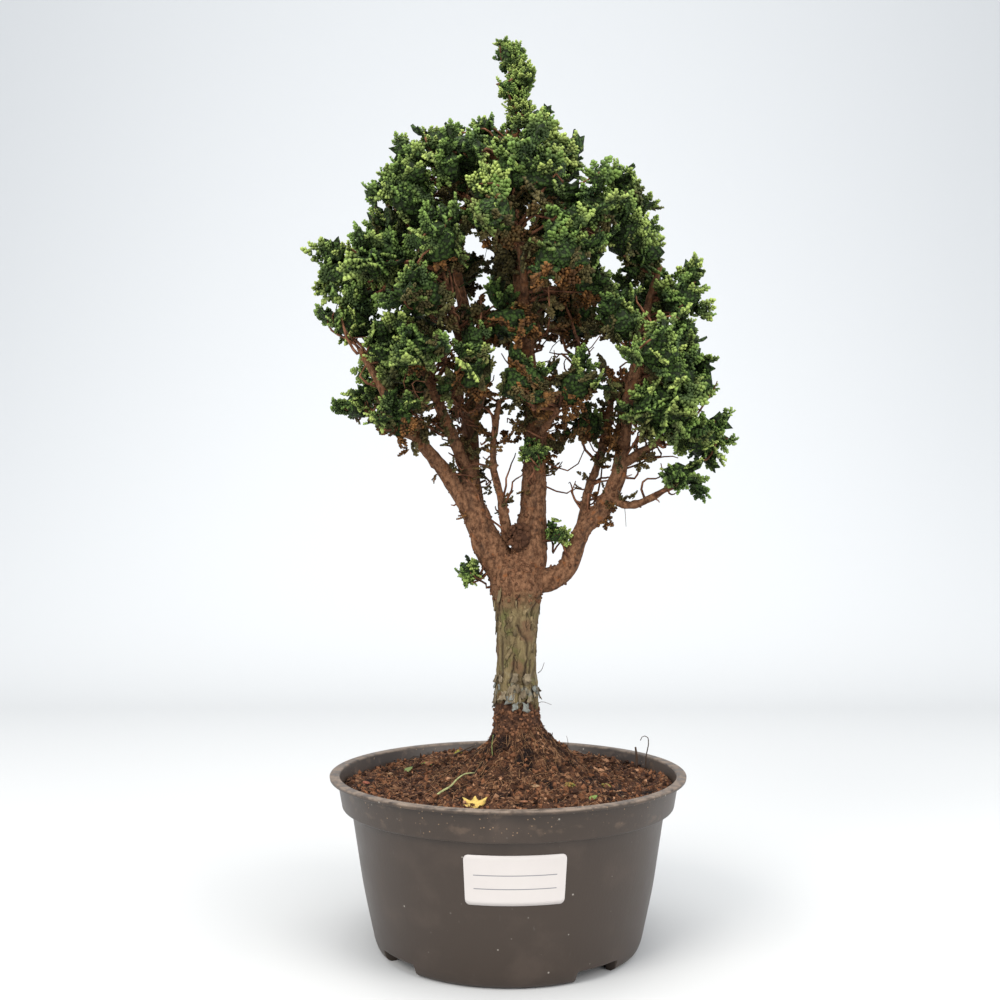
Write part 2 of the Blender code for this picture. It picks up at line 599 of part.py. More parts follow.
def twig_path(root, tip, wood_tree, attempt):
    """A twig's run from just clear of the bark to its tip, sagging a little on the way."""
    draw = np.random.default_rng((SPRAY_SEED, attempt))
    span = np.linalg.norm(tip - root)
    middle = (root + tip) / 2 - np.array([0.0, 0.0, TWIG_SAG * span])
    middle = middle + draw.uniform(-TWIG_BEND, TWIG_BEND, 3) * span * min(attempt, 2)
    for outer, inner in ((tip, middle), (middle, root)):
        aim = Vector(inner - outer)
        hit, _, _, _ = wood_tree.ray_cast(Vector(outer), aim.normalized(), aim.length + RAY_SPARE)
        if hit is not None:
            start = np.array(hit) - np.array(aim.normalized()) * TWIG_GAP
            if outer is tip:
                return [start, (start + tip) / 2, tip]
            return [start, (start + middle) / 2, middle, tip]
    return None


def place_heads(taken):
    """The middle, direction and radius of each spray's head, moved out along its twig until it is clear."""
    places = limb_points()
    heads = []
    roots = []
    for spray, numbers in enumerate(SPRAYS):
        point = np.array(numbers[:3]) * MM
        nearest = spray_roots(point, places)
        direction = (point - nearest[0]) / np.linalg.norm(point - nearest[0])
        for attempt in range(HEAD_TRIES):
            middle = point + direction * HEAD_STEP * min(attempt, HEAD_STEPS)
            radius = numbers[3] * MM * HEAD_SHARE * (1.0 - HEAD_SHRINK * attempt)
            if not touches(head_solid(spray, middle, direction, radius + BLADE_CLEARANCE), spray, taken):
                break
        else:
            raise RuntimeError(f"spray {spray + 1} has no clear place for its head")
        taken.append(claim(head_solid(spray, middle, direction, radius), spray))
        heads.append((middle, direction, radius))
        roots.append(nearest)
    return heads, roots


def swell_heads(heads, taken):
    """Let every head swell in small steps, for as long as it stays clear of its neighbours."""
    for _ in range(HEAD_SWELLS):
        for spray, (middle, direction, radius) in enumerate(heads):
            wider = radius * HEAD_SWELL
            if touches(head_solid(spray, middle, direction, wider + BLADE_CLEARANCE), spray, taken):
                continue
            heads[spray] = (middle, direction, wider)
            taken[1 + spray] = claim(head_solid(spray, middle, direction, wider), spray)


def build_twig(spray, head, nearest, wood_tree, taken):
    """The twig from just clear of the bark to the middle of its head, moved until it crosses nothing."""
    for attempt in range(TWIG_TRIES):
        path = twig_path(nearest[attempt * ROOT_STRIDE], head[0], wood_tree, attempt)
        if path is None:
            continue
        radii = np.linspace(TWIG_ROOT_RADIUS, TWIG_TIP_RADIUS, len(path))
        radii[0] = 0.6 * TWIG_ROOT_RADIUS
        shape = tube(path, radii, TWIG_SIDES)
        if not touches(shape, spray, taken):
            return shape
    raise RuntimeError(f"spray {spray + 1} has no clear way for its twig")


def build_sprays(wood):
    """The leafy sprays: on each twig a head, and round it cupped fans that keep clear of other pieces."""
    wood_points = np.array([v.co for v in wood.data.vertices])
    wood_faces = [tuple(p.vertices) for p in wood.data.polygons]
    wood_tree = BVHTree.FromPolygons([Vector(p) for p in wood_points], wood_faces)
    taken = [claim((wood_points, wood_faces), -1)]
    heads, roots = place_heads(taken)
    twigs = []
    for spray, head in enumerate(heads):
        twigs.append(build_twig(spray, head, roots[spray], wood_tree, taken))
        taken.append(claim(twigs[-1], spray))
    swell_heads(heads, taken)
    solids = [[head_solid(spray, *head), twigs[spray]] for spray, head in enumerate(heads)]
    stout_thickness = BLADE_THICKNESS + 2 * BLADE_CLEARANCE
    for number in range(SPRAY_FANS):
        for spray, head in enumerate(heads):
            for attempt in range(FAN_TRIES):
                root, along, normal, length, cup = fan_frame(spray, number, attempt, head)
                stout = fan_solid(root, along, normal, length + BLADE_CLEARANCE, cup, stout_thickness)
                if touches(stout, spray, taken):
                    continue
                fan = fan_solid(root, along, normal, length, cup, BLADE_THICKNESS)
                solids[spray].append(fan)
                taken.append(claim(fan, spray))
                break
    for spray, pieces in enumerate(solids):
        mesh = fused(f"spray_{spray + 1:02d}", pieces)
        dress(mesh.name, mesh, "leaf", LEAF_COLOUR, 0.7, LEAF_CREASE)


def main():
    """Build every piece, then bring the middle of their common box over the origin."""
    for old in list(bpy.data.objects):
        bpy.data.objects.remove(old)
    build_pot()
    build_label()
    build_soil()
    wood = build_wood()
    build_sprays(wood)
    pieces = list(bpy.context.scene.objects)
    corners = np.array([v.co for piece in pieces for v in piece.data.vertices])
    middle = (corners.min(axis=0) + corners.max(axis=0)) / 2
    carrier = bpy.data.objects.new("plant", None)
    bpy.context.scene.collection.objects.link(carrier)
    carrier.location = (-middle[0], -middle[1], 0.0)
    for piece in pieces:
        piece.parent = carrier


main()
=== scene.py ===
import math

import bpy
import numpy as np
from mathutils.bvhtree import BVHTree
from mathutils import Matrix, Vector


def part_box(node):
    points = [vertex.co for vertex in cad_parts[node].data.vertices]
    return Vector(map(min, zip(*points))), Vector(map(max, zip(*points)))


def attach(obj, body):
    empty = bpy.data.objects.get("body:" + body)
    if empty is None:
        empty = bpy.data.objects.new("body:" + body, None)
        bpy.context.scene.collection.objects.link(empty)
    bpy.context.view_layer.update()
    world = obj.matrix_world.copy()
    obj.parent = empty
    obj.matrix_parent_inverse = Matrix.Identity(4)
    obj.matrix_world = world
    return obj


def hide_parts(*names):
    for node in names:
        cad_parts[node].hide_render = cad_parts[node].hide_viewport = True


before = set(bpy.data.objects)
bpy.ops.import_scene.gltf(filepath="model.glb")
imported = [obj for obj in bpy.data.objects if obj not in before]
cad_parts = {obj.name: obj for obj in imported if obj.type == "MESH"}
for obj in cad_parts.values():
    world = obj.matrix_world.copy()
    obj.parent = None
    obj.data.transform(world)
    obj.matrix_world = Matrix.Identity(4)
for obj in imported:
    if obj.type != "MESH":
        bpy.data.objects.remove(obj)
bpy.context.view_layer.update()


# The studio. A pale floor sweeps up into a pale wall behind the plant, big soft lights stand to the
# left, to the right and overhead, and the camera looks very slightly upward from just above the rim.
MM = 0.001
pot_low, pot_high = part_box("pot")
AXIS_X = (pot_low[0] + pot_high[0]) / 2
CAMERA_BACK = 645.7 * MM
CAMERA_HEIGHT = 219.4 * MM
CAMERA_ASIDE = -4.5 * MM
CAMERA_TILT = math.radians(92.10)
CAMERA_LENS = 41.58
SWEEP_HALF_WIDTH = 4.0
SWEEP_FRONT = -2.5
SWEEP_BACK = 0.9
SWEEP_BEND = 2.2
SWEEP_HEIGHT = 4.5


def put_mesh(name, points, faces, material, smooth=True):
    """Put an array of points and an array of triangles in one object at the origin."""
    mesh = bpy.data.meshes.new(name)
    mesh.vertices.add(len(points))
    mesh.vertices.foreach_set("co", np.asarray(points, np.float32).ravel())
    mesh.loops.add(faces.size)
    mesh.loops.foreach_set("vertex_index", faces.astype(np.int32).ravel())
    mesh.polygons.add(len(faces))
    mesh.polygons.foreach_set("loop_start", np.arange(0, faces.size, 3, dtype=np.int32))
    mesh.polygons.foreach_set("use_smooth", np.full(len(faces), smooth))
    mesh.update(calc_edges=True)
    mesh.validate()
    mesh.materials.append(material)
    piece = bpy.data.objects.new(name, mesh)
    bpy.context.scene.collection.objects.link(piece)
    return piece


def sheet_faces(rows, columns):
    """The triangles over an open grid of points, row after row."""
    low = (np.arange(rows - 1) * columns)[:, None] + np.arange(columns - 1)
    first = np.stack([low, low + 1, low + columns + 1], -1).reshape(-1, 3)
    second = np.stack([low, low + columns + 1, low + columns], -1).reshape(-1, 3)
    return np.concatenate([first, second])


def finish_of(name, colour, roughness, specular=0.5):
    """A Principled material and its node tree, with the constants on the shader's own sockets."""
    material = bpy.data.materials.new(name)
    material.use_nodes = True
    shader = material.node_tree.nodes["Principled BSDF"]
    shader.inputs["Base Color"].default_value = (*colour, 1.0)
    shader.inputs["Roughness"].default_value = roughness
    shader.inputs["Specular IOR Level"].default_value = specular
    return material, material.node_tree, shader


def sweep_points():
    """The floor and wall: a profile that runs back, turns up by a quarter circle and climbs."""
    turn = np.linspace(0, math.pi / 2, 24)
    along = np.concatenate([[SWEEP_FRONT], SWEEP_BACK + SWEEP_BEND * np.sin(turn), [SWEEP_BACK + SWEEP_BEND]])
    height = np.concatenate([[0.0], SWEEP_BEND * (1 - np.cos(turn)), [SWEEP_HEIGHT]])
    across = np.array([-SWEEP_HALF_WIDTH, SWEEP_HALF_WIDTH])
    grid = np.zeros((len(along), 2, 3))
    grid[..., 0] = across
    grid[..., 1] = along[:, None]
    grid[..., 2] = height[:, None]
    return grid.reshape(-1, 3), sheet_faces(len(along), 2)


def soft_light(name, place, aim, size, power, colour):
    """A square soft light at a place, turned towards the point it lights."""
    lamp = bpy.data.lights.new(name, "AREA")
    lamp.shape = "SQUARE"
    lamp.size = size
    lamp.energy = power
    lamp.color = colour
    light = bpy.data.objects.new(name, lamp)
    bpy.context.scene.collection.objects.link(light)
    light.location = place
    way = np.array(aim) - np.array(place)
    light.rotation_euler = (math.acos(-way[2] / np.linalg.norm(way)), 0, math.atan2(way[1], way[0]) - math.pi / 2)
    return light


sweep_material, _, _ = finish_of("pale_backdrop", (0.56, 0.56, 0.555), 0.9, 0.1)
sweep = put_mesh("backdrop", *sweep_points(), sweep_material)
soft_light("left_light", (-1.1, -1.3, 1.25), (0, 0, 0.28), 1.0, 30, (1.0, 0.965, 0.91))
soft_light("right_light", (1.3, -1.0, 0.9), (0, 0, 0.25), 1.1, 19, (1.0, 0.975, 0.94))
soft_light("top_light", (0.0, -0.2, 1.7), (0, 0, 0.3), 1.1, 22, (1.0, 0.985, 0.95))
soft_light("wall_light", (0.0, 0.5, 1.7), (0, 3.1, 2.3), 1.8, 44, (0.96, 0.98, 1.0))
world = bpy.data.worlds.new("studio")
world.use_nodes = True
world.node_tree.nodes["Background"].inputs["Color"].default_value = (0.86, 0.92, 1.0, 1.0)
world.node_tree.nodes["Background"].inputs["Strength"].default_value = 1.0
bpy.context.scene.world = world
bpy.context.scene.view_settings.view_transform = "Standard"
camera = bpy.data.objects.new("camera", bpy.data.cameras.new("camera"))
bpy.context.scene.collection.objects.link(camera)
camera.data.sensor_width = 36
camera.data.lens = CAMERA_LENS
camera.location = (AXIS_X + CAMERA_ASIDE, -CAMERA_BACK, CAMERA_HEIGHT)
camera.rotation_euler = (CAMERA_TILT, 0, 0)
bpy.context.scene.camera = camera


# The pot is a thin bowl pot blown or moulded in charcoal plastic: a flat lip, a collar with a small
# step under it, a wall that narrows to a rounded foot, and a raised floor over a skirt with four
# notches that let water out. Dust lies on the lip and the wall is lightly scuffed.
RIM_RADIUS = 98.0 * MM
RIM_HEIGHT = 93.0 * MM
RIM_INNER_RADIUS = 92.6 * MM
COLLAR_TOP_RADIUS = 93.6 * MM
COLLAR_FOOT_RADIUS = 91.0 * MM
COLLAR_FOOT_HEIGHT = 76.0 * MM
BODY_TOP_RADIUS = 86.0 * MM
BODY_MID_RADIUS = 79.5 * MM
BODY_MID_HEIGHT = 34.0 * MM
BODY_FOOT_RADIUS = 73.3 * MM
BODY_FOOT_HEIGHT = 5.8 * MM
FOOT_RADIUS = 69.0 * MM
SKIRT_INNER_RADIUS = 65.8 * MM
WALL = 1.8 * MM
FLOOR_TOP = 8.6 * MM
FLOOR_UNDER = 6.9 * MM
NOTCH_TURN = math.radians(38.3)
NOTCH_HALF_WIDTH = math.radians(10.5)
NOTCH_HEIGHT = 6.5 * MM
NOTCH_EDGE = math.radians(0.45)
DRAIN_HOLE_RADIUS = 5.0 * MM
DRAIN_HOLE_PITCH_RADIUS = 50.0 * MM
POT_COLUMNS = 168
POT_WAVER = 0.18 * MM


def rounded_profile(corners):
    """A run of corners (radius, height, rounding), each rounding a parabola between its two sides."""
    corners = np.array(corners, float)
    places = corners[:, :2]
    share = np.linspace(0, 1, 5)[:, None]
    run = [places[:1]]
    for before, here, after, rounding in zip(places[:-2], places[1:-1], places[2:], corners[1:-1, 2]):
        back = (before - here) / np.linalg.norm(before - here)
        onward = (after - here) / np.linalg.norm(after - here)
        start, end = here + back * rounding, here + onward * rounding
        run.append(start * (1 - share) ** 2 + here * 2 * share * (1 - share) + end * share**2)
    run.append(places[-1:])
    return np.vstack(run)


def tube_faces(rows, columns):
    """The triangles over rings that close on themselves; two last points close the ends."""
    ring = np.arange(columns)
    after = np.roll(ring, -1)
    low = (np.arange(rows - 1) * columns)[:, None]
    first = np.stack([low + ring, low + after, low + columns + after], -1).reshape(-1, 3)
    second = np.stack([low + ring, low + columns + after, low + columns + ring], -1).reshape(-1, 3)
    start, end, top = rows * columns, rows * columns + 1, (rows - 1) * columns
    near = np.stack([np.full(columns, start), after, ring], -1)
    far = np.stack([np.full(columns, end), top + ring, top + after], -1)
    return np.concatenate([first, second, near, far])


def pot_points():
    """The pot: its profile swept round the axis, with the skirt's foot lifted where a notch is."""
    profile = rounded_profile([
        (12 * MM, FLOOR_UNDER, 0), (SKIRT_INNER_RADIUS, FLOOR_UNDER, 0.2 * MM),
        (SKIRT_INNER_RADIUS, 0, 0.6 * MM), (FOOT_RADIUS, 0, 0.8 * MM), (FOOT_RADIUS + 2.6 * MM, 1.6 * MM, 1.2 * MM),
        (BODY_FOOT_RADIUS, BODY_FOOT_HEIGHT, 2.0 * MM), (BODY_MID_RADIUS, BODY_MID_HEIGHT, 8 * MM),
        (BODY_TOP_RADIUS, COLLAR_FOOT_HEIGHT - 0.8 * MM, 0.5 * MM), (COLLAR_FOOT_RADIUS, COLLAR_FOOT_HEIGHT, 1.0 * MM),
        (COLLAR_TOP_RADIUS, RIM_HEIGHT - 2.3 * MM, 0.5 * MM), (RIM_RADIUS - 0.3 * MM, RIM_HEIGHT - 2.0 * MM, 0.5 * MM),
        (RIM_RADIUS, RIM_HEIGHT, 0.8 * MM), (RIM_INNER_RADIUS, RIM_HEIGHT, 0.9 * MM),
        (COLLAR_FOOT_RADIUS - WALL, COLLAR_FOOT_HEIGHT + 2 * MM, 2 * MM),
        (BODY_TOP_RADIUS - WALL, COLLAR_FOOT_HEIGHT - 3 * MM, 2 * MM),
        (BODY_MID_RADIUS - WALL, BODY_MID_HEIGHT, 4 * MM), (BODY_FOOT_RADIUS - WALL, FLOOR_TOP, 2 * MM),
        (12 * MM, FLOOR_TOP, 0),
    ])
    notches = NOTCH_TURN + np.arange(4) * math.pi / 2
    edges = (notches[:, None] + np.array([-1, 1]) * NOTCH_HALF_WIDTH).ravel()
    edges = (edges[:, None] + np.array([-1, 0, 1]) * NOTCH_EDGE).ravel()
    turns = np.sort(np.concatenate([np.linspace(0, 2 * math.pi, POT_COLUMNS, endpoint=False), edges % (2 * math.pi)]))
    away = np.abs((turns[:, None] - notches + math.pi) % (2 * math.pi) - math.pi).min(axis=1)
    opened = np.clip((NOTCH_HALF_WIDTH + NOTCH_EDGE - away) / (2 * NOTCH_EDGE), 0, 1)
    radius = profile[:, :1] + POT_WAVER * np.sin(3 * turns + 0.7) * (profile[:, 1:] / RIM_HEIGHT) ** 2
    height = np.repeat(profile[:, 1:], len(turns), axis=1)
    low = height < NOTCH_HEIGHT
    height = np.where(low, height + (NOTCH_HEIGHT - height) * opened, height)
    points = np.stack([AXIS_X + radius * np.sin(turns), -radius * np.cos(turns), height], -1).reshape(-1, 3)
    poles = [(AXIS_X, 0, FLOOR_UNDER), (AXIS_X, 0, FLOOR_TOP)]
    return np.vstack([points, poles]), tube_faces(len(profile), len(turns))


def object_place(tree, stretch=(1, 1, 1)):
    """The object's own coordinates in metres, stretched along the axes."""
    coordinates = tree.nodes.new("ShaderNodeTexCoord")
    mapping = tree.nodes.new("ShaderNodeMapping")
    mapping.inputs["Scale"].default_value = stretch
    tree.links.new(coordinates.outputs["Object"], mapping.inputs["Vector"])
    return mapping.outputs["Vector"]


def noise_of(tree, size, detail=4.0, stretch=(1, 1, 1), roughness=0.55):
    """Cloudy noise from 0 to 1 whose lumps are about one size across."""
    noise = tree.nodes.new("ShaderNodeTexNoise")
    noise.inputs["Scale"].default_value = 1.0 / size
    noise.inputs["Detail"].default_value = detail
    noise.inputs["Roughness"].default_value = roughness
    tree.links.new(object_place(tree, stretch), noise.inputs["Vector"])
    return noise.outputs["Fac"]


def specks_of(tree, size, share):
    """Small round specks, one in some of the cells of a size."""
    cells = tree.nodes.new("ShaderNodeTexVoronoi")
    cells.inputs["Scale"].default_value = 1.0 / size
    tree.links.new(object_place(tree), cells.inputs["Vector"])
    return stepped(tree, cells.outputs["Distance"], share, share * 0.55)


def stepped(tree, value, low, high):
    """A value taken from 0 at low to 1 at high, flat beyond."""
    span = tree.nodes.new("ShaderNodeMapRange")
    span.interpolation_type = "SMOOTHSTEP"
    span.inputs["From Min"].default_value = min(low, high)
    span.inputs["From Max"].default_value = max(low, high)
    span.inputs["To Min"].default_value = 0.0 if low < high else 1.0
    span.inputs["To Max"].default_value = 1.0 if low < high else 0.0
    tree.links.new(value, span.inputs["Value"])
    return span.outputs["Result"]


def sum_of(tree, kind, first, second):
    """Two values, or a value and a number, combined by one kind of arithmetic."""
    maths = tree.nodes.new("ShaderNodeMath")
    maths.operation = kind
    for socket, value in zip(maths.inputs, (first, second)):
        if isinstance(value, (int, float)):
            socket.default_value = value
        else:
            tree.links.new(value, socket)
    return maths.outputs["Value"]


def blended(tree, share, first, second):
    """One colour turned into another by a share; each is a colour or another node's output."""
    mix = tree.nodes.new("ShaderNodeMix")
    mix.data_type = "RGBA"
    tree.links.new(share, mix.inputs["Factor"])
    ends = [socket for socket in mix.inputs if socket.type == "RGBA"]
    for socket, colour in zip(ends, (first, second)):
        if isinstance(colour, tuple):
            socket.default_value = (*colour, 1.0)
        else:
            tree.links.new(colour, socket)
    return next(socket for socket in mix.outputs if socket.type == "RGBA")


def relief(tree, shader, height, depth):
    """Bump the surface by a height from 0 to 1 times a depth in metres."""
    bump = tree.nodes.new("ShaderNodeBump")
    bump.inputs["Distance"].default_value = depth
    bump.inputs["Strength"].default_value = 1.0
    tree.links.new(height, bump.inputs["Height"])
    tree.links.new(bump.outputs["Normal"], shader.inputs["Normal"])


def part_of_place(tree, axis):
    """One of the object's own coordinates, in metres."""
    split = tree.nodes.new("ShaderNodeSeparateXYZ")
    tree.links.new(object_place(tree), split.inputs["Vector"])
    return split.outputs[axis]


def pot_finish():
    """Charcoal plastic: satin, with dust on the lip, pale specks, crumbs and smears on the collar, and fine scuffs."""
    material, tree, shader = finish_of("pot_plastic", (0.026, 0.020, 0.016), 0.45, 0.45)
    height = part_of_place(tree, "Z")
    clouds = noise_of(tree, 22 * MM, 5)
    lip = stepped(tree, height, 91.6 * MM, 92.8 * MM)
    dusty = sum_of(tree, "MULTIPLY", lip, stepped(tree, noise_of(tree, 5 * MM, 6), 0.30, 0.62))
    film = sum_of(tree, "MULTIPLY", stepped(tree, clouds, 0.48, 0.75), 0.35)
    specks = sum_of(tree, "MULTIPLY", specks_of(tree, 7 * MM, 0.085), stepped(tree, noise_of(tree, 30 * MM), 0.45, 0.6))
    on_collar = stepped(tree, height, COLLAR_FOOT_HEIGHT, COLLAR_FOOT_HEIGHT + 5 * MM)
    crumbs = sum_of(tree, "MULTIPLY", specks_of(tree, 2.6 * MM, 0.16), stepped(tree, noise_of(tree, 14 * MM), 0.40, 0.62))
    crumbs = sum_of(tree, "MULTIPLY", crumbs, on_collar)
    smear = sum_of(tree, "MULTIPLY", stepped(tree, noise_of(tree, 9 * MM, 5, (1, 1, 1.6)), 0.54, 0.70), on_collar)
    scuffs = stepped(tree, noise_of(tree, 2.2 * MM, 3, (1, 1, 0.12)), 0.70, 0.78)
    colour = blended(tree, film, (0.036, 0.0235, 0.0160), (0.078, 0.054, 0.040))
    colour = blended(tree, sum_of(tree, "MULTIPLY", smear, 0.45), colour, (0.125, 0.082, 0.054))
    colour = blended(tree, sum_of(tree, "MULTIPLY", scuffs, 0.25), colour, (0.12, 0.11, 0.10))
    colour = blended(tree, specks, colour, (0.30, 0.27, 0.23))
    colour = blended(tree, sum_of(tree, "MULTIPLY", crumbs, 0.8), colour, (0.34, 0.215, 0.12))
    colour = blended(tree, sum_of(tree, "MULTIPLY", dusty, 0.75), colour, (0.25, 0.190, 0.145))
    tree.links.new(colour, shader.inputs["Base Color"])
    rough = sum_of(tree, "ADD", sum_of(tree, "MULTIPLY", clouds, 0.22), 0.30)
    rough = sum_of(tree, "ADD", rough, sum_of(tree, "MULTIPLY", dusty, 0.3))
    tree.links.new(rough, shader.inputs["Roughness"])
    relief(tree, shader, noise_of(tree, 1.3 * MM, 3), 0.05 * MM)
    return material


pot = put_mesh("pot_shell", *pot_points(), pot_finish())
pot.data.set_sharp_from_angle(angle=math.radians(40))
drill_columns = 32
for number in range(4):
    turn = NOTCH_TURN + number * math.pi / 2
    around = np.linspace(0, 2 * math.pi, drill_columns, endpoint=False)
    middle = np.array([AXIS_X + DRAIN_HOLE_PITCH_RADIUS * math.sin(turn), -DRAIN_HOLE_PITCH_RADIUS * math.cos(turn)])
    rings = np.zeros((2, drill_columns, 3))
    rings[..., 0] = middle[0] + DRAIN_HOLE_RADIUS * np.sin(around)
    rings[..., 1] = middle[1] - DRAIN_HOLE_RADIUS * np.cos(around)
    rings[1, :, 2] = 15 * MM
    poles = [(*middle, 0), (*middle, 15 * MM)]
    drill = put_mesh("drill", np.vstack([rings.reshape(-1, 3), poles]), tube_faces(2, drill_columns), pot.data.materials[0])
    cut = pot.modifiers.new("drain", "BOOLEAN")
    cut.operation = "DIFFERENCE"
    cut.solver = "EXACT"
    cut.object = drill
    bored = bpy.data.meshes.new_from_object(pot.evaluated_get(bpy.context.evaluated_depsgraph_get()))
    pot.modifiers.clear()
    pot.data = bored
    bpy.data.objects.remove(drill)
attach(pot, "root")
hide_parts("pot")


# The label is a small white paper sticker with rounded corners, pressed on the front of the wall. It
# carries only two thin ruled lines.
LABEL_WIDTH = 50.0 * MM
LABEL_HEIGHT = 25.0 * MM
LABEL_CORNER = 2.5 * MM
LABEL_MIDDLE_HEIGHT = 56.4 * MM
LABEL_TURN = math.radians(2.0)
LABEL_PROUD = 0.12 * MM
LABEL_THICKNESS = 0.2 * MM
LABEL_COLUMNS = 57
LABEL_ROWS = 13


def label_points():
    """The sticker: across and up on a rounded rectangle, laid on the wall's cone."""
    corner = 1 - np.cos(np.linspace(0, math.pi / 2, 9))
    ends = -LABEL_WIDTH / 2 + LABEL_CORNER * corner
    across = np.concatenate([ends, np.linspace(ends[-1], -ends[-1], LABEL_COLUMNS - 18)[1:-1], -ends[::-1]])
    inside = np.clip(np.abs(across) - (LABEL_WIDTH / 2 - LABEL_CORNER), 0, LABEL_CORNER)
    half = LABEL_HEIGHT / 2 - LABEL_CORNER + np.sqrt(LABEL_CORNER**2 - inside**2)
    up = np.linspace(-1, 1, LABEL_ROWS)[:, None] * half
    height = LABEL_MIDDLE_HEIGHT + up
    slope = (BODY_TOP_RADIUS - BODY_MID_RADIUS) / (COLLAR_FOOT_HEIGHT - 0.8 * MM - BODY_MID_HEIGHT)
    wall = BODY_MID_RADIUS + slope * (height - BODY_MID_HEIGHT)
    turn = LABEL_TURN + np.broadcast_to(across / (BODY_MID_RADIUS + slope * (LABEL_MIDDLE_HEIGHT - BODY_MID_HEIGHT)), height.shape)
    radius = wall + LABEL_PROUD + LABEL_THICKNESS
    points = np.stack([AXIS_X + radius * np.sin(turn), -radius * np.cos(turn), height], -1)
    chart = np.stack([np.broadcast_to(across / LABEL_WIDTH + 0.5, height.shape), up / LABEL_HEIGHT + 0.5], -1)
    return points.reshape(-1, 3), chart.reshape(-1, 2), sheet_faces(*height.shape)


def label_finish():
    """Smooth white paper with two grey ruled lines, read from the sticker's own chart."""
    material, tree, shader = finish_of("label_paper", (0.80, 0.80, 0.80), 0.38)
    chart = tree.nodes.new("ShaderNodeUVMap")
    chart.uv_map = "chart"
    split = tree.nodes.new("ShaderNodeSeparateXYZ")
    tree.links.new(chart.outputs["UV"], split.inputs["Vector"])
    within = sum_of(tree, "MULTIPLY", stepped(tree, split.outputs["X"], 0.09, 0.093), stepped(tree, split.outputs["X"], 0.91, 0.907))
    ruled = None
    for line in (0.33, 0.60):
        near = sum_of(tree, "ABSOLUTE", sum_of(tree, "SUBTRACT", split.outputs["Y"], line), 0)
        stroke = stepped(tree, near, 0.012, 0.007)
        ruled = stroke if ruled is None else sum_of(tree, "ADD", ruled, stroke)
    tint = blended(tree, noise_of(tree, 12 * MM, 3), (0.535, 0.495, 0.470), (0.585, 0.540, 0.515))
    colour = blended(tree, sum_of(tree, "MULTIPLY", ruled, within), tint, (0.20, 0.20, 0.21))
    tree.links.new(colour, shader.inputs["Base Color"])
    relief(tree, shader, noise_of(tree, 0.6 * MM, 2), 0.01 * MM)
    return material


label_place, label_chart, label_triangles = label_points()
label = put_mesh("label_sticker", label_place, label_triangles, label_finish())
label_map = label.data.uv_layers.new(name="chart")
label_map.data.foreach_set("uv", label_chart[[loop.vertex_index for loop in label.data.loops]].astype(np.float32).ravel())
backing = label.modifiers.new("thickness", "SOLIDIFY")
backing.thickness = LABEL_THICKNESS
backing.offset = -1
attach(label, "root")
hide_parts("label")


# The soil is a block of dark peat and bark fines. It lies a little under the rim, rises in a mound
# round the foot of the trunk, and is crumbly all over.
TRUNK_X = AXIS_X + 5.0 * MM
SOIL_EDGE_HEIGHT = 87.0 * MM
SOIL_EDGE_DIP = 2.0 * MM
SOIL_MOUND_HEIGHT = 19.0 * MM
SOIL_MOUND_SPREAD = 33.0 * MM
SOIL_MOUND_X = AXIS_X + 8.6 * MM
SOIL_MOUND_Y = 2.7 * MM
SOIL_TOP_RADIUS = 90.2 * MM
SOIL_BANK_RADIUS = 13.0 * MM
SOIL_BANK_HEIGHT = 13.0 * MM
SOIL_BANK_SPREAD = 7.5 * MM
SOIL_CORE_RADIUS = 11.0 * MM
SOIL_WALL = [(69.2, 9.0), (71.2, 10.8), (77.3, 34), (83.7, 74.6), (88.3, 78.5)]
SOIL_ROWS = 80
SOIL_COLUMNS = 310
SOIL_BACK_RISE = 3.2 * MM
SOIL_SHOULDER = (30.0 * MM, 4.0 * MM, 10.0 * MM, 4.6 * MM)
SOIL_LUMPS = ((24 * MM, 2.4 * MM), (8 * MM, 3.4 * MM), (3.2 * MM, 2.8 * MM), (1.4 * MM, 1.5 * MM))


def lattice_noise(places, seed):
    """Smooth noise from 0 to 1: random values at whole-number places, eased from corner to corner."""
    base = np.floor(places).astype(np.int64)
    part = places - base
    part = part * part * (3 - 2 * part)
    total = 0.0
    for corner in np.ndindex(2, 2, 2):
        at = base + np.array(corner)
        mixed = at[..., 0] * 374761393 + at[..., 1] * 668265263 + at[..., 2] * 2147483647 + seed * 974634777
        mixed = (mixed ^ (mixed >> 13)) * 1274126177
        value = ((mixed ^ (mixed >> 16)) & 0xFFFFFF) / 0xFFFFFF
        weight = np.where(np.array(corner) == 1, part, 1 - part).prod(axis=-1)
        total = total + weight * value
    return total


def soil_level(x, y):
    """The height of the soil: a rolling edge, a mound, a steep bank at the trunk, crumbs on crumbs."""
    turn = np.arctan2(y, x - AXIS_X)
    level = SOIL_EDGE_HEIGHT - SOIL_EDGE_DIP * (np.sin(turn) + 0.6 * np.sin(3 * turn))
    away = np.hypot(x - SOIL_MOUND_X, y - SOIL_MOUND_Y)
    level = level + SOIL_MOUND_HEIGHT * np.exp(-((away / SOIL_MOUND_SPREAD) ** 2))
    bank = np.hypot(x - TRUNK_X, y) - SOIL_BANK_RADIUS
    level = level + SOIL_BANK_HEIGHT * np.exp(-np.maximum(bank, 0) / SOIL_BANK_SPREAD)
    shoulder_x, shoulder_y, spread, rise = SOIL_SHOULDER
    level = level + rise * np.exp(-(np.hypot(x - AXIS_X - shoulder_x, y - shoulder_y) / spread) ** 2)
    level = level + SOIL_BACK_RISE * np.clip(y / (70 * MM), 0, 1) + soil_lumps(x, y, SOIL_LUMPS)
    return level


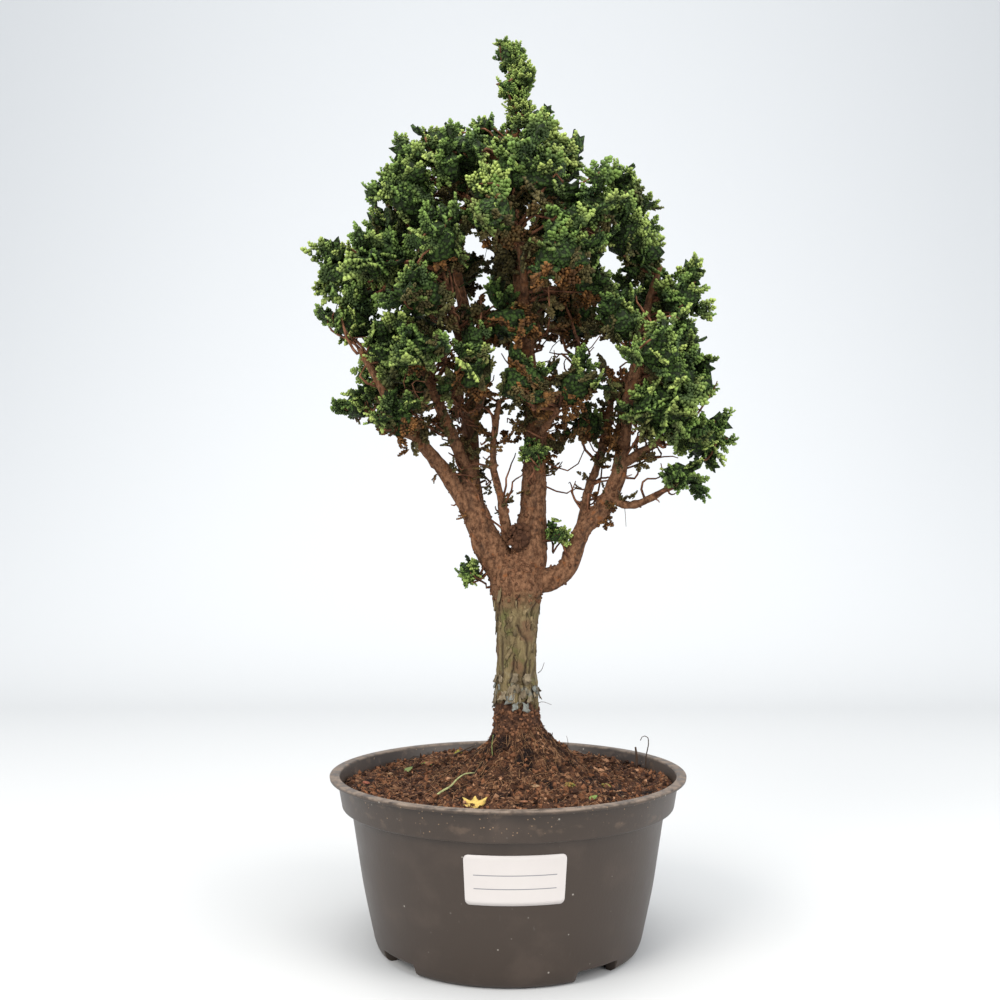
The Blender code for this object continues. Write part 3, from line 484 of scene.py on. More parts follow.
def soil_lumps(x, y, lumps):
    """Crumbs on crumbs: noise of several sizes added up."""
    place = np.stack([x, y, np.zeros_like(x)], -1)
    return sum(rise * (lattice_noise(place / size + 31.7, 5 * int(size / MM)) - 0.5) for size, rise in lumps)


def soil_points():
    """The block: rings from its foot up the wall, over the crumbly top and down inside the trunk."""
    turns = np.linspace(0, 2 * math.pi, SOIL_COLUMNS, endpoint=False)
    share = np.linspace(0, 1, SOIL_ROWS)[:, None] ** 0.94
    radius = SOIL_TOP_RADIUS + (SOIL_CORE_RADIUS - SOIL_TOP_RADIUS) * share
    x = AXIS_X + (TRUNK_X - AXIS_X) * share + radius * np.sin(turns)
    y = -radius * np.cos(turns)
    z = soil_level(x, y)
    z = z - 1.2 * MM * np.exp(-(((SOIL_TOP_RADIUS - radius) / (2.5 * MM)) ** 2))
    top = np.stack([x, y, z], -1).reshape(-1, 3)
    wide, high = (np.array(SOIL_WALL) * MM).T[:, :, None]
    wall = np.stack([AXIS_X + wide * np.sin(turns), -wide * np.cos(turns), high + 0 * turns], -1)
    poles = [(AXIS_X, 0, SOIL_WALL[0][1] * MM), (TRUNK_X, 0, 100 * MM)]
    rows = SOIL_ROWS + len(SOIL_WALL)
    raised = np.concatenate([np.zeros(wall[..., 0].size), soil_lumps(x, y, SOIL_LUMPS[1:]).ravel() / (3 * MM) + 0.5, [0, 0]])
    return np.vstack([wall.reshape(-1, 3), top, poles]), tube_faces(rows, SOIL_COLUMNS), raised


def paint(piece, name, values):
    """Store one value or colour per point as an attribute of the piece."""
    values = np.asarray(values, np.float32)
    if values.ndim == 1:
        layer = piece.data.attributes.new(name, "FLOAT", "POINT")
        layer.data.foreach_set("value", values)
    else:
        layer = piece.data.attributes.new(name, "FLOAT_COLOR", "POINT")
        layer.data.foreach_set("color", np.column_stack([values, np.ones(len(values))]).astype(np.float32).ravel())


def painted(tree, name, part="Fac"):
    """What was stored on the piece under a name."""
    stored = tree.nodes.new("ShaderNodeAttribute")
    stored.attribute_name = name
    return stored.outputs[part]


def soil_finish():
    """Dark peat with red-brown and tan crumbs in it, and painted shade: near black in the hollows between lumps and on
    the wall.
    """
    material, tree, shader = finish_of("peat", (0.05, 0.028, 0.018), 0.95, 0.25)
    colour = blended(tree, stepped(tree, noise_of(tree, 9 * MM, 6), 0.35, 0.68), (0.060, 0.024, 0.012), (0.150, 0.064, 0.029))
    chips = tree.nodes.new("ShaderNodeTexVoronoi")
    chips.inputs["Scale"].default_value = 1.0 / (1.5 * MM)
    tree.links.new(object_place(tree), chips.inputs["Vector"])
    pick = tree.nodes.new("ShaderNodeSeparateColor")
    tree.links.new(chips.outputs["Color"], pick.inputs["Color"])
    colour = blended(tree, stepped(tree, pick.outputs["Red"], 0.10, 0.45), (0.040, 0.016, 0.009), colour)
    colour = blended(tree, stepped(tree, pick.outputs["Green"], 0.84, 0.90), colour, (0.30, 0.150, 0.075))
    colour = blended(tree, stepped(tree, noise_of(tree, 1.0 * MM, 5), 0.60, 0.70), colour, (0.25, 0.118, 0.052))
    # Painted shade: the low places between lumps, and the wall rings, go near black.
    colour = blended(tree, stepped(tree, painted(tree, "raised"), 0.50, 0.14), colour, (0.009, 0.004, 0.003))
    tree.links.new(colour, shader.inputs["Base Color"])
    grit = sum_of(tree, "SUBTRACT", noise_of(tree, 0.9 * MM, 6, (1, 1, 1), 0.75), chips.outputs["Distance"])
    relief(tree, shader, grit, 1.5 * MM)
    return material


soil_place, soil_triangles, soil_raised = soil_points()
soil = put_mesh("soil_bed", soil_place, soil_triangles, soil_finish())
paint(soil, "raised", soil_raised)
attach(soil, "root")
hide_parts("soil")


# Loose crumbs of peat and bark lie all over the soil: angular scraps of a millimetre or two, most of
# them dark, some red-brown and a few pale tan.
CRUMBS = 4200
CRUMB_SIZES = (0.4 * MM, 1.7 * MM)
CRUMB_CORNERS = np.array([(1, 0, 0), (-1, 0, 0), (0, 1, 0), (0, -1, 0), (0, 0, 1), (0, 0, -1)], float)
CRUMB_FACES = np.array([(0, 2, 4), (2, 1, 4), (1, 3, 4), (3, 0, 4), (2, 0, 5), (1, 2, 5), (3, 1, 5), (0, 3, 5)])
CRUMB_SEED = 11


def grain_shape():
    """A ball of twelve corners and twenty faces: the corners of three crossed golden rectangles."""
    golden = (1 + 5**0.5) / 2
    corners = []
    for one, two in ((-1, golden), (1, golden), (-1, -golden), (1, -golden)):
        corners += [(one, two, 0), (0, one, two), (two, 0, one)]
    corners = np.array(corners) / math.hypot(1, golden)
    apart = np.linalg.norm(corners[:, None] - corners, axis=-1)
    near = (apart > 0.1) & (apart < 1.2)
    faces = [(a, b, c) for a in range(12) for b in range(a + 1, 12) for c in range(b + 1, 12)
             if near[a, b] and near[b, c] and near[a, c]]
    return corners, outward(corners, np.array(faces))


def square_frames(along, facing):
    """Rotations whose columns are a direction, its side and the facing arrow made square to it."""
    along = along / np.linalg.norm(along, axis=-1, keepdims=True)
    over = facing - along * (facing * along).sum(axis=-1, keepdims=True)
    over = over / np.linalg.norm(over, axis=-1, keepdims=True)
    return np.stack([along, np.cross(over, along), over], -1)


def outward(points, faces):
    """The faces of a rounded shape about the origin's side, each turned to face away from its middle."""
    corners = points[faces]
    normals = np.cross(corners[:, 1] - corners[:, 0], corners[:, 2] - corners[:, 0])
    wrong = np.einsum("ij,ij->i", normals, corners.mean(axis=1) - points.mean(axis=0)) < 0
    faces[wrong] = faces[wrong][:, ::-1]
    return faces


def repeated_faces(faces, copies, corners):
    """The faces of many copies of one shape whose points follow one another."""
    return (faces + np.arange(copies)[:, None, None] * corners).reshape(-1, 3)


def random_turns(draw, count):
    """Random rotations as matrices: three random arrows made square to each other."""
    frames, _ = np.linalg.qr(draw.normal(size=(count, 3, 3)))
    frames[np.linalg.det(frames) < 0, :, 0] *= -1
    return frames


draw = np.random.default_rng(CRUMB_SEED)
grain_points, grain_faces = grain_shape()
turn = draw.uniform(0, 2 * math.pi, CRUMBS)
reach = 89 * MM * draw.uniform(0.025, 0.99, CRUMBS) ** 0.55
crumb_x = AXIS_X + reach * np.sin(turn)
crumb_y = -reach * np.cos(turn)
size = draw.uniform(0, 1, CRUMBS) ** 2.5 * (CRUMB_SIZES[1] - CRUMB_SIZES[0]) + CRUMB_SIZES[0]
shape = draw.uniform(0.55, 1.35, (CRUMBS, 6, 1)) * CRUMB_CORNERS * draw.uniform(0.35, 1.6, (CRUMBS, 1, 3))
shape = np.einsum("nij,nkj->nki", random_turns(draw, CRUMBS), shape) * size[:, None, None]
middle = np.stack([crumb_x, crumb_y, soil_level(crumb_x, crumb_y) + 0.3 * size], -1)
crumb_material, tree, shader = finish_of("peat_crumbs", (0.05, 0.03, 0.02), 0.95, 0.2)
tone = painted(tree, "tone")
colour = blended(tree, stepped(tree, tone, 0.20, 0.85), (0.026, 0.011, 0.006), (0.190, 0.080, 0.037))
colour = blended(tree, stepped(tree, tone, 0.93, 0.97), colour, (0.36, 0.190, 0.105))
tree.links.new(colour, shader.inputs["Base Color"])
relief(tree, shader, noise_of(tree, 0.7 * MM, 3), 0.2 * MM)
crumb_faces = repeated_faces(CRUMB_FACES, CRUMBS, 6)
crumbs = put_mesh("soil_crumbs", (shape + middle[:, None]).reshape(-1, 3), crumb_faces, crumb_material, smooth=False)
paint(crumbs, "tone", np.repeat(draw.uniform(0, 1, CRUMBS), 6))
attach(crumbs, "root")


# Fine dead roots and fibres run through the peat and curl over it, some tan and some nearly black.
FIBRES = 2000
BANK_FIBRES = 900
FIBRE_ROWS = 5
FIBRE_COLUMNS = 3
FIBRE_SEED = 12


def tube_points(path, radii, columns):
    """Rings round a path, each ring square to it, with one point at each end: (rings, columns) first."""
    ahead = np.gradient(path, axis=0)
    ahead = ahead / np.linalg.norm(ahead, axis=1)[:, None]
    chord = path[-1] - path[0]
    side = np.cross(chord, (0.31, 1.0, 0.12))
    across = side - ahead * (ahead @ side)[:, None]
    across = across / np.linalg.norm(across, axis=1)[:, None]
    over = np.cross(ahead, across)
    turns = np.linspace(0, 2 * math.pi, columns, endpoint=False)
    ring = np.cos(turns)[:, None] * across[:, None] + np.sin(turns)[:, None] * over[:, None]
    radii = np.broadcast_to(np.asarray(radii).reshape(len(path), -1), (len(path), columns))
    points = path[:, None] + radii[..., None] * ring
    return np.vstack([points.reshape(-1, 3), path[:1], path[-1:]]), ring


draw = np.random.default_rng(FIBRE_SEED)
fibre_points = []
fibre_tones = []
along = np.linspace(-1, 1, FIBRE_ROWS)
for number in range(FIBRES):
    turn = draw.uniform(0, 2 * math.pi)
    reach = 86 * MM * draw.uniform(0.15, 1.0) ** 0.7
    length = draw.uniform(1.5, 6) * MM
    way = draw.uniform(0, 2 * math.pi)
    bend = draw.uniform(-0.7, 0.7) * length
    if number < BANK_FIBRES:
        reach = (13 + 30 * draw.uniform() ** 1.3) * MM
        length = draw.uniform(1.0, 3.6) * MM
        bend = draw.uniform(-1.3, 1.3) * length
    x = AXIS_X + reach * math.sin(turn) + along * length * math.cos(way) - bend * along**2 * math.sin(way)
    y = -reach * math.cos(turn) + along * length * math.sin(way) + bend * along**2 * math.cos(way)
    inside = np.minimum(1.0, 88 * MM / np.hypot(x - AXIS_X, y))
    x = AXIS_X + (x - AXIS_X) * inside
    y = y * inside
    rise = draw.uniform(-0.2, 1.3) * MM * (1 - along**2) + draw.uniform(-0.4, 1.4) * MM * along
    path = np.stack([x, y, soil_level(x, y) + 0.25 * MM + rise], -1)
    points, _ = tube_points(path, np.full(FIBRE_ROWS, draw.uniform(0.07, 0.17) * MM), FIBRE_COLUMNS)
    fibre_points.append(points)
    fibre_tones.append(np.full(len(points), draw.uniform(0, 1)))
fibre_material, tree, shader = finish_of("root_fibres", (0.12, 0.07, 0.04), 0.85, 0.25)
colour = blended(tree, stepped(tree, painted(tree, "tone"), 0.30, 0.9), (0.042, 0.018, 0.009), (0.30, 0.160, 0.078))
tree.links.new(colour, shader.inputs["Base Color"])
fibre_faces = repeated_faces(tube_faces(FIBRE_ROWS, FIBRE_COLUMNS), FIBRES, FIBRE_ROWS * FIBRE_COLUMNS + 2)
fibres = put_mesh("soil_fibres", np.vstack(fibre_points), fibre_faces, fibre_material)
paint(fibres, "tone", np.concatenate(fibre_tones))
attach(fibres, "root")


# A little litter lies on the soil: flat chips of bark, four small cushions of moss and a few fallen
# leaves, of which one has gone yellow.
CHIPS = [
    (-82, 25, 2.6, 0.30, 0.17, 0.09), (-68, 26, 2.4, 0.34, 0.19, 0.10), (13.8, -38, 3.4, 0.36, 0.22, 0.12),
    (7.5, -63, 2.8, 0.30, 0.13, 0.07), (-77, -11, 2.8, 0.26, 0.08, 0.05), (40, 30, 2.6, 0.30, 0.18, 0.10),
    (60, -46, 2.4, 0.33, 0.20, 0.11), (-40, -62, 2.2, 0.28, 0.16, 0.09), (30, 62, 2.6, 0.28, 0.16, 0.09),
]
MOSS_CUSHIONS = [(32, -35, 3.0, 0.26, 0.20), (52, -27, 2.0, 0.22, 0.20), (-48.6, 50, 3.2, 0.15, 0.24), (-30, 66, 1.6, 0.30, 0.26)]
MOSS_GRAINS = 34
LITTER_SEED = 14
GREEN_LEAVES = [(-58, 30, 2.6, 0.13, 0.17, 0.06), (22, 58, 2.2, 0.10, 0.17, 0.05), (42, -60, 2.2, 0.12, 0.20, 0.05)]
YELLOW_LEAF = (-17.6, -64, 6.4, 0.60, 0.40, 0.105)
LEAF_TURNS = 40
LEAF_RINGS = 5

draw = np.random.default_rng(LITTER_SEED)
middles, sizes, tints = [], [], []
for x, y, size, *tint in CHIPS:
    middles.append((AXIS_X + x * MM, y * MM, soil_level(np.array(AXIS_X + x * MM), np.array(y * MM)) + 0.6 * MM))
    sizes.append(np.array([1.0, 0.65, 0.22]) * size * MM)
    tints.append(tint)
for x, y, spread, red, green in MOSS_CUSHIONS:
    for number in range(MOSS_GRAINS):
        aside = draw.normal(0, 0.5, 2) * spread * MM
        at_x, at_y = AXIS_X + x * MM + aside[0], y * MM + aside[1]
        lift = 1.1 * MM - 0.12 * (aside**2).sum() / MM
        middles.append((at_x, at_y, soil_level(np.array(at_x), np.array(at_y)) + lift))
        sizes.append(np.full(3, draw.uniform(0.45, 0.9)) * MM)
        tints.append((red * draw.uniform(0.7, 1.3), green * draw.uniform(0.8, 1.2), 0.05))
count = len(middles)
tilt = random_turns(draw, count)
tilt[:len(CHIPS)] = square_frames(draw.normal(size=(len(CHIPS), 3)) * [1, 1, 0.15], np.array([0.1, -0.25, 1.0]))
shape = draw.uniform(0.8, 1.2, (count, 12, 1)) * grain_points * np.array(sizes)[:, None]
shape = np.einsum("nij,nkj->nki", tilt, shape) + np.array(middles)[:, None]
litter_material, tree, shader = finish_of("litter", (0.3, 0.2, 0.1), 0.85, 0.2)
mottle = stepped(tree, noise_of(tree, 1.2 * MM, 4), 0.35, 0.65)
colour = blended(tree, sum_of(tree, "MULTIPLY", mottle, 0.55), painted(tree, "tint", "Color"), (0.05, 0.03, 0.015))
tree.links.new(colour, shader.inputs["Base Color"])
litter = put_mesh("chips_and_moss", shape.reshape(-1, 3), repeated_faces(grain_faces, count, 12), litter_material)
paint(litter, "tint", np.repeat(np.array(tints), 12, axis=0))
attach(litter, "root")


def fallen_leaf(place, lobes, depth):
    """A leaf blade: rings out from its middle to an edge whose reach swings with the turn."""
    x, y, size, *_ = place
    turns = np.linspace(0, 2 * math.pi, LEAF_TURNS, endpoint=False)
    edge = size * MM * (1 - depth * (0.5 - 0.5 * np.cos(lobes * turns)) - 0.2 * np.sin(turns))
    edge = edge * (1 + 0.10 * np.sin(11 * turns) + 0.12 * np.sin(3 * turns + 1.0))
    share = np.linspace(0.15, 1, LEAF_RINGS)[:, None]
    out = edge * share
    local = np.stack([out * np.cos(turns), out * np.sin(turns) * 0.75, 0.30 * out**2 / (size * MM) * np.cos(lobes * turns)], -1)
    frame_turn = square_frames(np.array([1.0, 0.2, 0.1]), np.array([0.0, -0.55, 1.0]))
    at = np.array([AXIS_X + x * MM, y * MM, soil_level(np.array(AXIS_X + x * MM), np.array(y * MM)) + 2.0 * MM])
    points = local.reshape(-1, 3) @ frame_turn.T + at
    hub = np.vstack([at, at])
    faces = tube_faces(LEAF_RINGS, LEAF_TURNS)[:-LEAF_TURNS]
    return np.vstack([points, hub])[:len(points) + 1], faces


leaf_points, leaf_faces, leaf_tints = [], [], []
for place, lobes, depth in [(YELLOW_LEAF, 5, 0.36)] + [(leaf, 1, 0.2) for leaf in GREEN_LEAVES]:
    points, faces = fallen_leaf(place, lobes, depth)
    leaf_faces.append(faces + sum(len(points) for points in leaf_points))
    leaf_points.append(points)
    leaf_tints.append(np.tile(place[3:], (len(points), 1)))
fallen_material, tree, shader = finish_of("fallen_leaf", (0.4, 0.35, 0.08), 0.6, 0.3)
veins = stepped(tree, noise_of(tree, 1.8 * MM, 4), 0.40, 0.62)
colour = blended(tree, sum_of(tree, "MULTIPLY", veins, 0.5), painted(tree, "tint", "Color"), (0.20, 0.19, 0.045))
tree.links.new(colour, shader.inputs["Base Color"])
relief(tree, shader, noise_of(tree, 1.0 * MM, 3), 0.2 * MM)
fallen = put_mesh("fallen_leaves", np.vstack(leaf_points), np.vstack(leaf_faces), fallen_material)
paint(fallen, "tint", np.vstack(leaf_tints))
blade = fallen.modifiers.new("blade", "SOLIDIFY")
blade.thickness = 0.25 * MM
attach(fallen, "root")


# A few things stand in the soil: a pale green sprout that has fallen over, a blade of grass, a dead
# stub, and a wiry twig that hooks over at its end. Short dark hairs stick out of the trunk's foot.
SPRIGS = [
    ([(-38, -53, 89.5), (-35, -49, 91.5), (-30, -44, 93.5), (-27, -36, 95.5), (-23, -30, 97), (-18, -27, 97)], 0.62,
     (0.33, 0.34, 0.15)),
    ([(-18, -27, 97), (-16, -24, 99.5), (-14, -22, 102)], 0.22, (0.16, 0.10, 0.05)),
    ([(-8.5, -15, 103), (-8.9, -15, 109), (-8.2, -15, 115)], 0.28, (0.20, 0.25, 0.08)),
    ([(-30, 2, 101), (-26, 0, 103.5), (-19, -2, 107)], 0.55, (0.045, 0.030, 0.022)),
    ([(33, 3, 104), (33.4, 3, 108), (32.6, 3, 111.5)], 0.2, (0.09, 0.05, 0.03)),
    ([(22, -4, 110), (24, -4, 112.5), (24.4, -4, 114.5)], 0.4, (0.05, 0.030, 0.022)),
    ([(76, 42, 86), (76.3, 42, 92), (75.6, 42, 98.5)], 1.0, (0.060, 0.034, 0.022)),
    ([(81, 38, 86), (81.4, 38, 94), (82.8, 38, 101), (82.2, 38, 105), (79.5, 38, 105.5), (78, 38, 103)], 0.42,
     (0.050, 0.030, 0.020)),
    ([(16.5, -3, 147), (18.5, -4, 149), (20, -4, 153)], 0.22, (0.05, 0.035, 0.025)),
    ([(15, -4, 130), (19, -5, 131.5), (24, -6, 130)], 0.18, (0.07, 0.045, 0.03)),
    ([(-12, -12, 108), (-17, -14, 106), (-21, -15, 104)], 0.3, (0.06, 0.035, 0.02)),
    ([(60, -6, 250), (64, -8, 240), (65, -9, 228)], 0.25, (0.12, 0.08, 0.05)),
]
SPRIG_ROWS = 14
SPRIG_COLUMNS = 6


def spline_run(run, step):
    """A smooth run through the given points and radii: cubic arcs that share their slopes."""
    spans = np.linalg.norm(np.diff(run[:, :3], axis=0), axis=1)
    lengths = np.concatenate([[0], np.cumsum(spans)])
    at = np.linspace(0, lengths[-1], max(6, int(lengths[-1] / step)))
    index = np.clip(np.searchsorted(lengths, at, side="right") - 1, 0, len(spans) - 1)
    share = ((at - lengths[index]) / spans[index])[:, None]
    padded = np.vstack([2 * run[0] - run[1], run, 2 * run[-1] - run[-2]])
    p0, p1, p2, p3 = (padded[index + k] for k in range(4))
    smooth = 2 * p1 + (p2 - p0) * share + (2 * p0 - 5 * p1 + 4 * p2 - p3) * share**2
    smooth = 0.5 * (smooth + (3 * p1 - p0 - 3 * p2 + p3) * share**3)
    return smooth, at


def smooth_path(corners, rows):
    """A path through a few corners, eased by cubic arcs, with a set number of points."""
    run = np.column_stack([np.array(corners, float) * MM, np.zeros(len(corners))])
    run[:, 0] += AXIS_X
    fine, _ = spline_run(run, 0.4 * MM)
    return fine[np.linspace(0, len(fine) - 1, rows).astype(int), :3]


sprig_points, sprig_tints = [], []
for corners, thick, tint in SPRIGS:
    points, _ = tube_points(smooth_path(corners, SPRIG_ROWS), np.linspace(thick, thick * 0.55, SPRIG_ROWS) * MM, SPRIG_COLUMNS)
    sprig_points.append(points)
    sprig_tints.append(np.tile(tint, (len(points), 1)))
sprig_material, tree, shader = finish_of("sprigs", (0.1, 0.1, 0.05), 0.7, 0.25)
colour = blended(tree, sum_of(tree, "MULTIPLY", stepped(tree, noise_of(tree, 2 * MM, 4), 0.4, 0.65), 0.45),
                 painted(tree, "tint", "Color"), (0.05, 0.035, 0.02))
tree.links.new(colour, shader.inputs["Base Color"])
sprig_faces = repeated_faces(tube_faces(SPRIG_ROWS, SPRIG_COLUMNS), len(SPRIGS), SPRIG_ROWS * SPRIG_COLUMNS + 2)
sprigs = put_mesh("sprigs", np.vstack(sprig_points), sprig_faces, sprig_material)
paint(sprigs, "tint", np.vstack(sprig_tints))
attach(sprigs, "root")


# The trunk and its limbs grew as one. The trunk stands straight and forks low into upright limbs;
# its bark is olive-tan with long cracks, and turns red-brown and knobbly from the fork upward.
TRUNK = [
    (5, 0, 78, 15.4), (5, 0, 104, 15.8), (5, 0, 113, 13.8), (4.8, 0, 124, 12.4), (4.6, 0, 142, 11.1),
    (4.8, 0, 162, 10.8), (5, 0, 180, 11.9), (5, 0, 192, 14.3), (5, 0, 203, 14.8), (5, 0, 213, 10),
]
LONG_CRACKS = [
    [(14.0, 191), (10.3, 186), (8.4, 181), (7.4, 172)],
    [(-0.5, 174), (2.2, 169), (5.0, 166), (5.6, 161), (5.3, 156), (4.4, 150), (4.0, 142), (3.8, 136)],
    [(-8.0, 167), (-8.2, 156), (-7.8, 150), (-8.3, 146)],
    [(10.9, 170), (10.2, 163)], [(-1.8, 156), (-2.4, 149), (-3.4, 143)], [(-9.8, 192), (-10.4, 182)],
    [(7.6, 155), (7.2, 147)], [(0.6, 190), (-1.0, 184)],
]
LIMBS = {
    "leader": [
        (8, 0, 197, 10), (11, 0, 212, 10.4), (13, 1, 226, 8.7), (14, 2, 240, 7.2), (15, 2, 262, 6.4),
        (15.5, 3, 286, 6.1), (12, 4, 312, 5.2), (8.5, 5, 346, 4.4), (6, 5, 380, 3.7),
        (5, 5, 414, 3), (4.5, 4, 448, 2.2), (3.5, 3, 470, 1.6), (0, 3, 485, 1.1),
    ],
    "left": [(1, 0, 197, 10), (-7, -1, 211, 9.5), (-15, -2, 227, 8), (-21, -2, 242, 7), (-22, 0, 256, 5.6)],
    "left_outer": [
        (-19, -3, 232, 5.2), (-34, -8, 257, 4.2), (-47, -14, 273, 3.6), (-58, -20, 288, 3),
        (-70, -24, 306, 2.4), (-80, -26, 324, 1.8),
    ],
    "left_upright": [
        (-20, -1, 243, 6), (-21, 3, 262, 5), (-21, 6, 290, 4.7), (-17, 8, 306, 4.5), (-21, 8, 331, 4.1),
        (-25, 8, 352, 3.5), (-30, 8, 378, 2.8), (-34, 6, 404, 2.2), (-37, 3, 428, 1.6),
    ],
    "left_cross": [(-22, -1, 256, 4), (-31, -8, 279, 3.2), (-38, -16, 295, 2.7), (-46, -26, 315, 2.2)],
    "middle": [
        (0, -3, 220, 3.6), (-4, -6, 244, 2.4), (-8, -8, 259, 2.1), (-8, -12, 276, 1.9), (-5, -20, 296, 1.5),
    ],
    "right": [
        (12, 0, 197, 8), (23, -1, 199, 6.3), (32, -1, 204, 5.6), (37, -1, 215, 5.2), (42, -2, 227, 5.1),
        (53, -2, 239, 5), (61, -3, 256, 4.5), (65, -3, 280, 3.8), (67, -3, 300, 3.4), (74, -1, 328, 2.8),
        (80, 2, 356, 2.2), (86, 4, 376, 1.6),
    ],
    "right_side": [
        (41, -2, 228, 3.4), (45, 3, 248, 2.5), (52, 7, 267, 2.4), (57, 9, 290, 2.1), (61, 14, 314, 1.7),
    ],
    "right_low": [(56, -4, 244, 2.8), (66, -8, 240, 2.2), (77, -12, 243, 1.9), (92, -14, 252, 1.4)],
    "right_out": [(62, -3, 262, 3), (75, -6, 270, 2.4), (89, -8, 279, 1.9), (102, -8, 290, 1.4)],
    "back_left": [(-21, 7, 284, 3.4), (-28, 26, 300, 2.7), (-36, 44, 322, 2.1), (-42, 56, 345, 1.6)],
    "back_middle": [(12, 5, 308, 3.6), (10, 26, 326, 2.8), (6, 44, 350, 2.2), (4, 56, 374, 1.6)],
    "back_right": [(15, 4, 280, 3.6), (26, 24, 298, 2.7), (36, 40, 316, 2.1), (44, 52, 338, 1.6)],
    "back_high": [(5, 5, 404, 2.4), (6, 24, 420, 1.9), (4, 36, 434, 1.4)],
    "front_middle": [(10, 4, 328, 3.2), (10, -18, 344, 2.5), (8, -36, 362, 2), (5, -50, 384, 1.5)],
    "front_high": [(5, 5, 398, 2.6), (0, -14, 414, 2), (-8, -30, 430, 1.5)],
    "front_left": [(-17, 7, 308, 3), (-24, -16, 324, 2.4), (-30, -32, 342, 1.9), (-34, -44, 362, 1.5)],
    "front_low": [(15, 2, 272, 2.9), (20, -16, 282, 2.2), (27, -28, 292, 1.6)],
    "left_wide": [(-23, 8, 340, 3), (-42, 2, 348, 2.4), (-62, -2, 358, 1.9), (-78, -4, 368, 1.4)],
    "left_high": [(6, 5, 384, 2.8), (-12, 2, 402, 2.3), (-30, -2, 420, 1.8), (-44, -3, 434, 1.4)],
    "left_low": [(-48, -15, 275, 2.4), (-62, -15, 282, 1.9), (-76, -13, 290, 1.3)],
    "right_high": [(7, 5, 358, 3), (24, 2, 376, 2.5), (42, -2, 392, 2), (56, -4, 406, 1.5)],
    "right_front": [(66, -3, 292, 2.8), (70, -20, 308, 2), (73, -32, 326, 1.5)],
    "right_back": [(70, -2, 308, 2.8), (75, 18, 324, 2), (80, 32, 342, 1.5)],
}
TRUNK_STEP = 0.8 * MM
BARK_STEP = 1.45 * MM
LIMB_COLUMNS = (10, 120)
TRUNK_CRACK_DEPTH = 0.8 * MM
LIMB_CRACK_DEPTH = 0.5 * MM
LONG_CRACK_DEPTH = 1.0 * MM
LONG_CRACK_WIDTH = 0.55 * MM
BARK_EDGE = 130 * MM
BARK_EDGE_WAVER = 11 * MM
BARK_PEEL_TOP = 150 * MM
BARK_LIFT = 0.9 * MM


def long_cracks(across, height):
    """How near each place on the front lies to a long crack: 1 on its line, fading to 0 beside it."""
    nearest = np.full(across.shape, 1.0)
    for crack in LONG_CRACKS:
        corners = np.array(crack) * MM
        for start, end in zip(corners[:-1], corners[1:]):
            span = end - start
            share = ((across - start[0]) * span[0] + (height - start[1]) * span[1]) / (span @ span)
            share = np.clip(share, 0, 1)
            away = np.hypot(across - start[0] - share * span[0], height - start[1] - share * span[1])
            nearest = np.minimum(nearest, away)
    return np.exp(-((nearest / LONG_CRACK_WIDTH) ** 2))


def bark_tube(run, seed, crack_depth, step):
    """A limb: rings along its run, with long cracks and soft knobs pressed into the radius.

    The cracks lie where smooth noise, stretched along the limb, crosses its middle value.
    """
    smooth, at = spline_run(run, step)
    path = smooth[:, :3]
    thick = smooth[:, 3]
    columns = int(np.clip(2 * math.pi * thick.max() / step, *LIMB_COLUMNS))
    _, ring = tube_points(path, thick, columns)
    place = ring * thick[:, None, None]
    girth = np.stack([place @ np.array([1, 0, 0]), place @ np.array([0, 1, 0]),
                      np.broadcast_to(at[:, None], place.shape[:2])], -1)
    warp = (lattice_noise(girth / (6 * MM) + 9.3, seed) - 0.5) * 1.6
    strips = lattice_noise(girth / np.array([3.6, 3.6, 17]) / MM + warp[..., None] * 0.5, seed + 1)
    crack = np.clip(1 - np.abs(strips - 0.5) / 0.06, 0, 1) ** 1.5
    if step == TRUNK_STEP:
        broken = lattice_noise(girth / (9 * MM) + 2.2, seed + 5)
        crack = crack * np.clip((broken - 0.45) / 0.2, 0, 1) * 0.7
        sway = (lattice_noise(girth / (2.5 * MM), seed + 6) - 0.5) * 1.2 * MM
        split = long_cracks(place[..., 0] + sway, path[:, 2:] + 0 * sway) * (place[..., 1] < 0)
        crack = np.maximum(crack, split * LONG_CRACK_DEPTH / crack_depth)
    fine = lattice_noise(girth / np.array([2.2, 2.2, 3.2]) / MM, seed + 2)
    knobs = lattice_noise(girth / (7 * MM) + 3.1, seed + 3) - 0.5
    flakes = np.floor(lattice_noise(girth / np.array([4, 4, 12]) / MM + 5.7, seed + 4) * 4) / 4
    swell = -crack_depth * crack + 0.8 * MM * (fine - 0.5) + crack_depth * 0.7 * (flakes - 0.4)
    height = path[:, 2:] + (lattice_noise(girth / np.array([5, 5, 60]) / MM, 7) - 0.5) * BARK_EDGE_WAVER
    peeled = np.clip((height - BARK_EDGE) / (0.8 * MM), 0, 1) * np.clip((BARK_PEEL_TOP - height) / (14 * MM), 0, 1)
    swell = swell + BARK_LIFT * peeled
    swell = swell + knobs * np.minimum(0.16 * thick, 1.5 * MM)[:, None]
    swell = np.maximum(swell, -0.35 * thick[:, None])
    points, _ = tube_points(path, thick[:, None] + swell, columns)
    rows = len(path)
    foot = np.clip((BARK_EDGE + 0.4 * MM - height) / (0.8 * MM), 0, 1)
    return points, tube_faces(rows, columns), np.append(np.minimum(crack, 1), [0, 0]), np.append(foot, [0, 0])


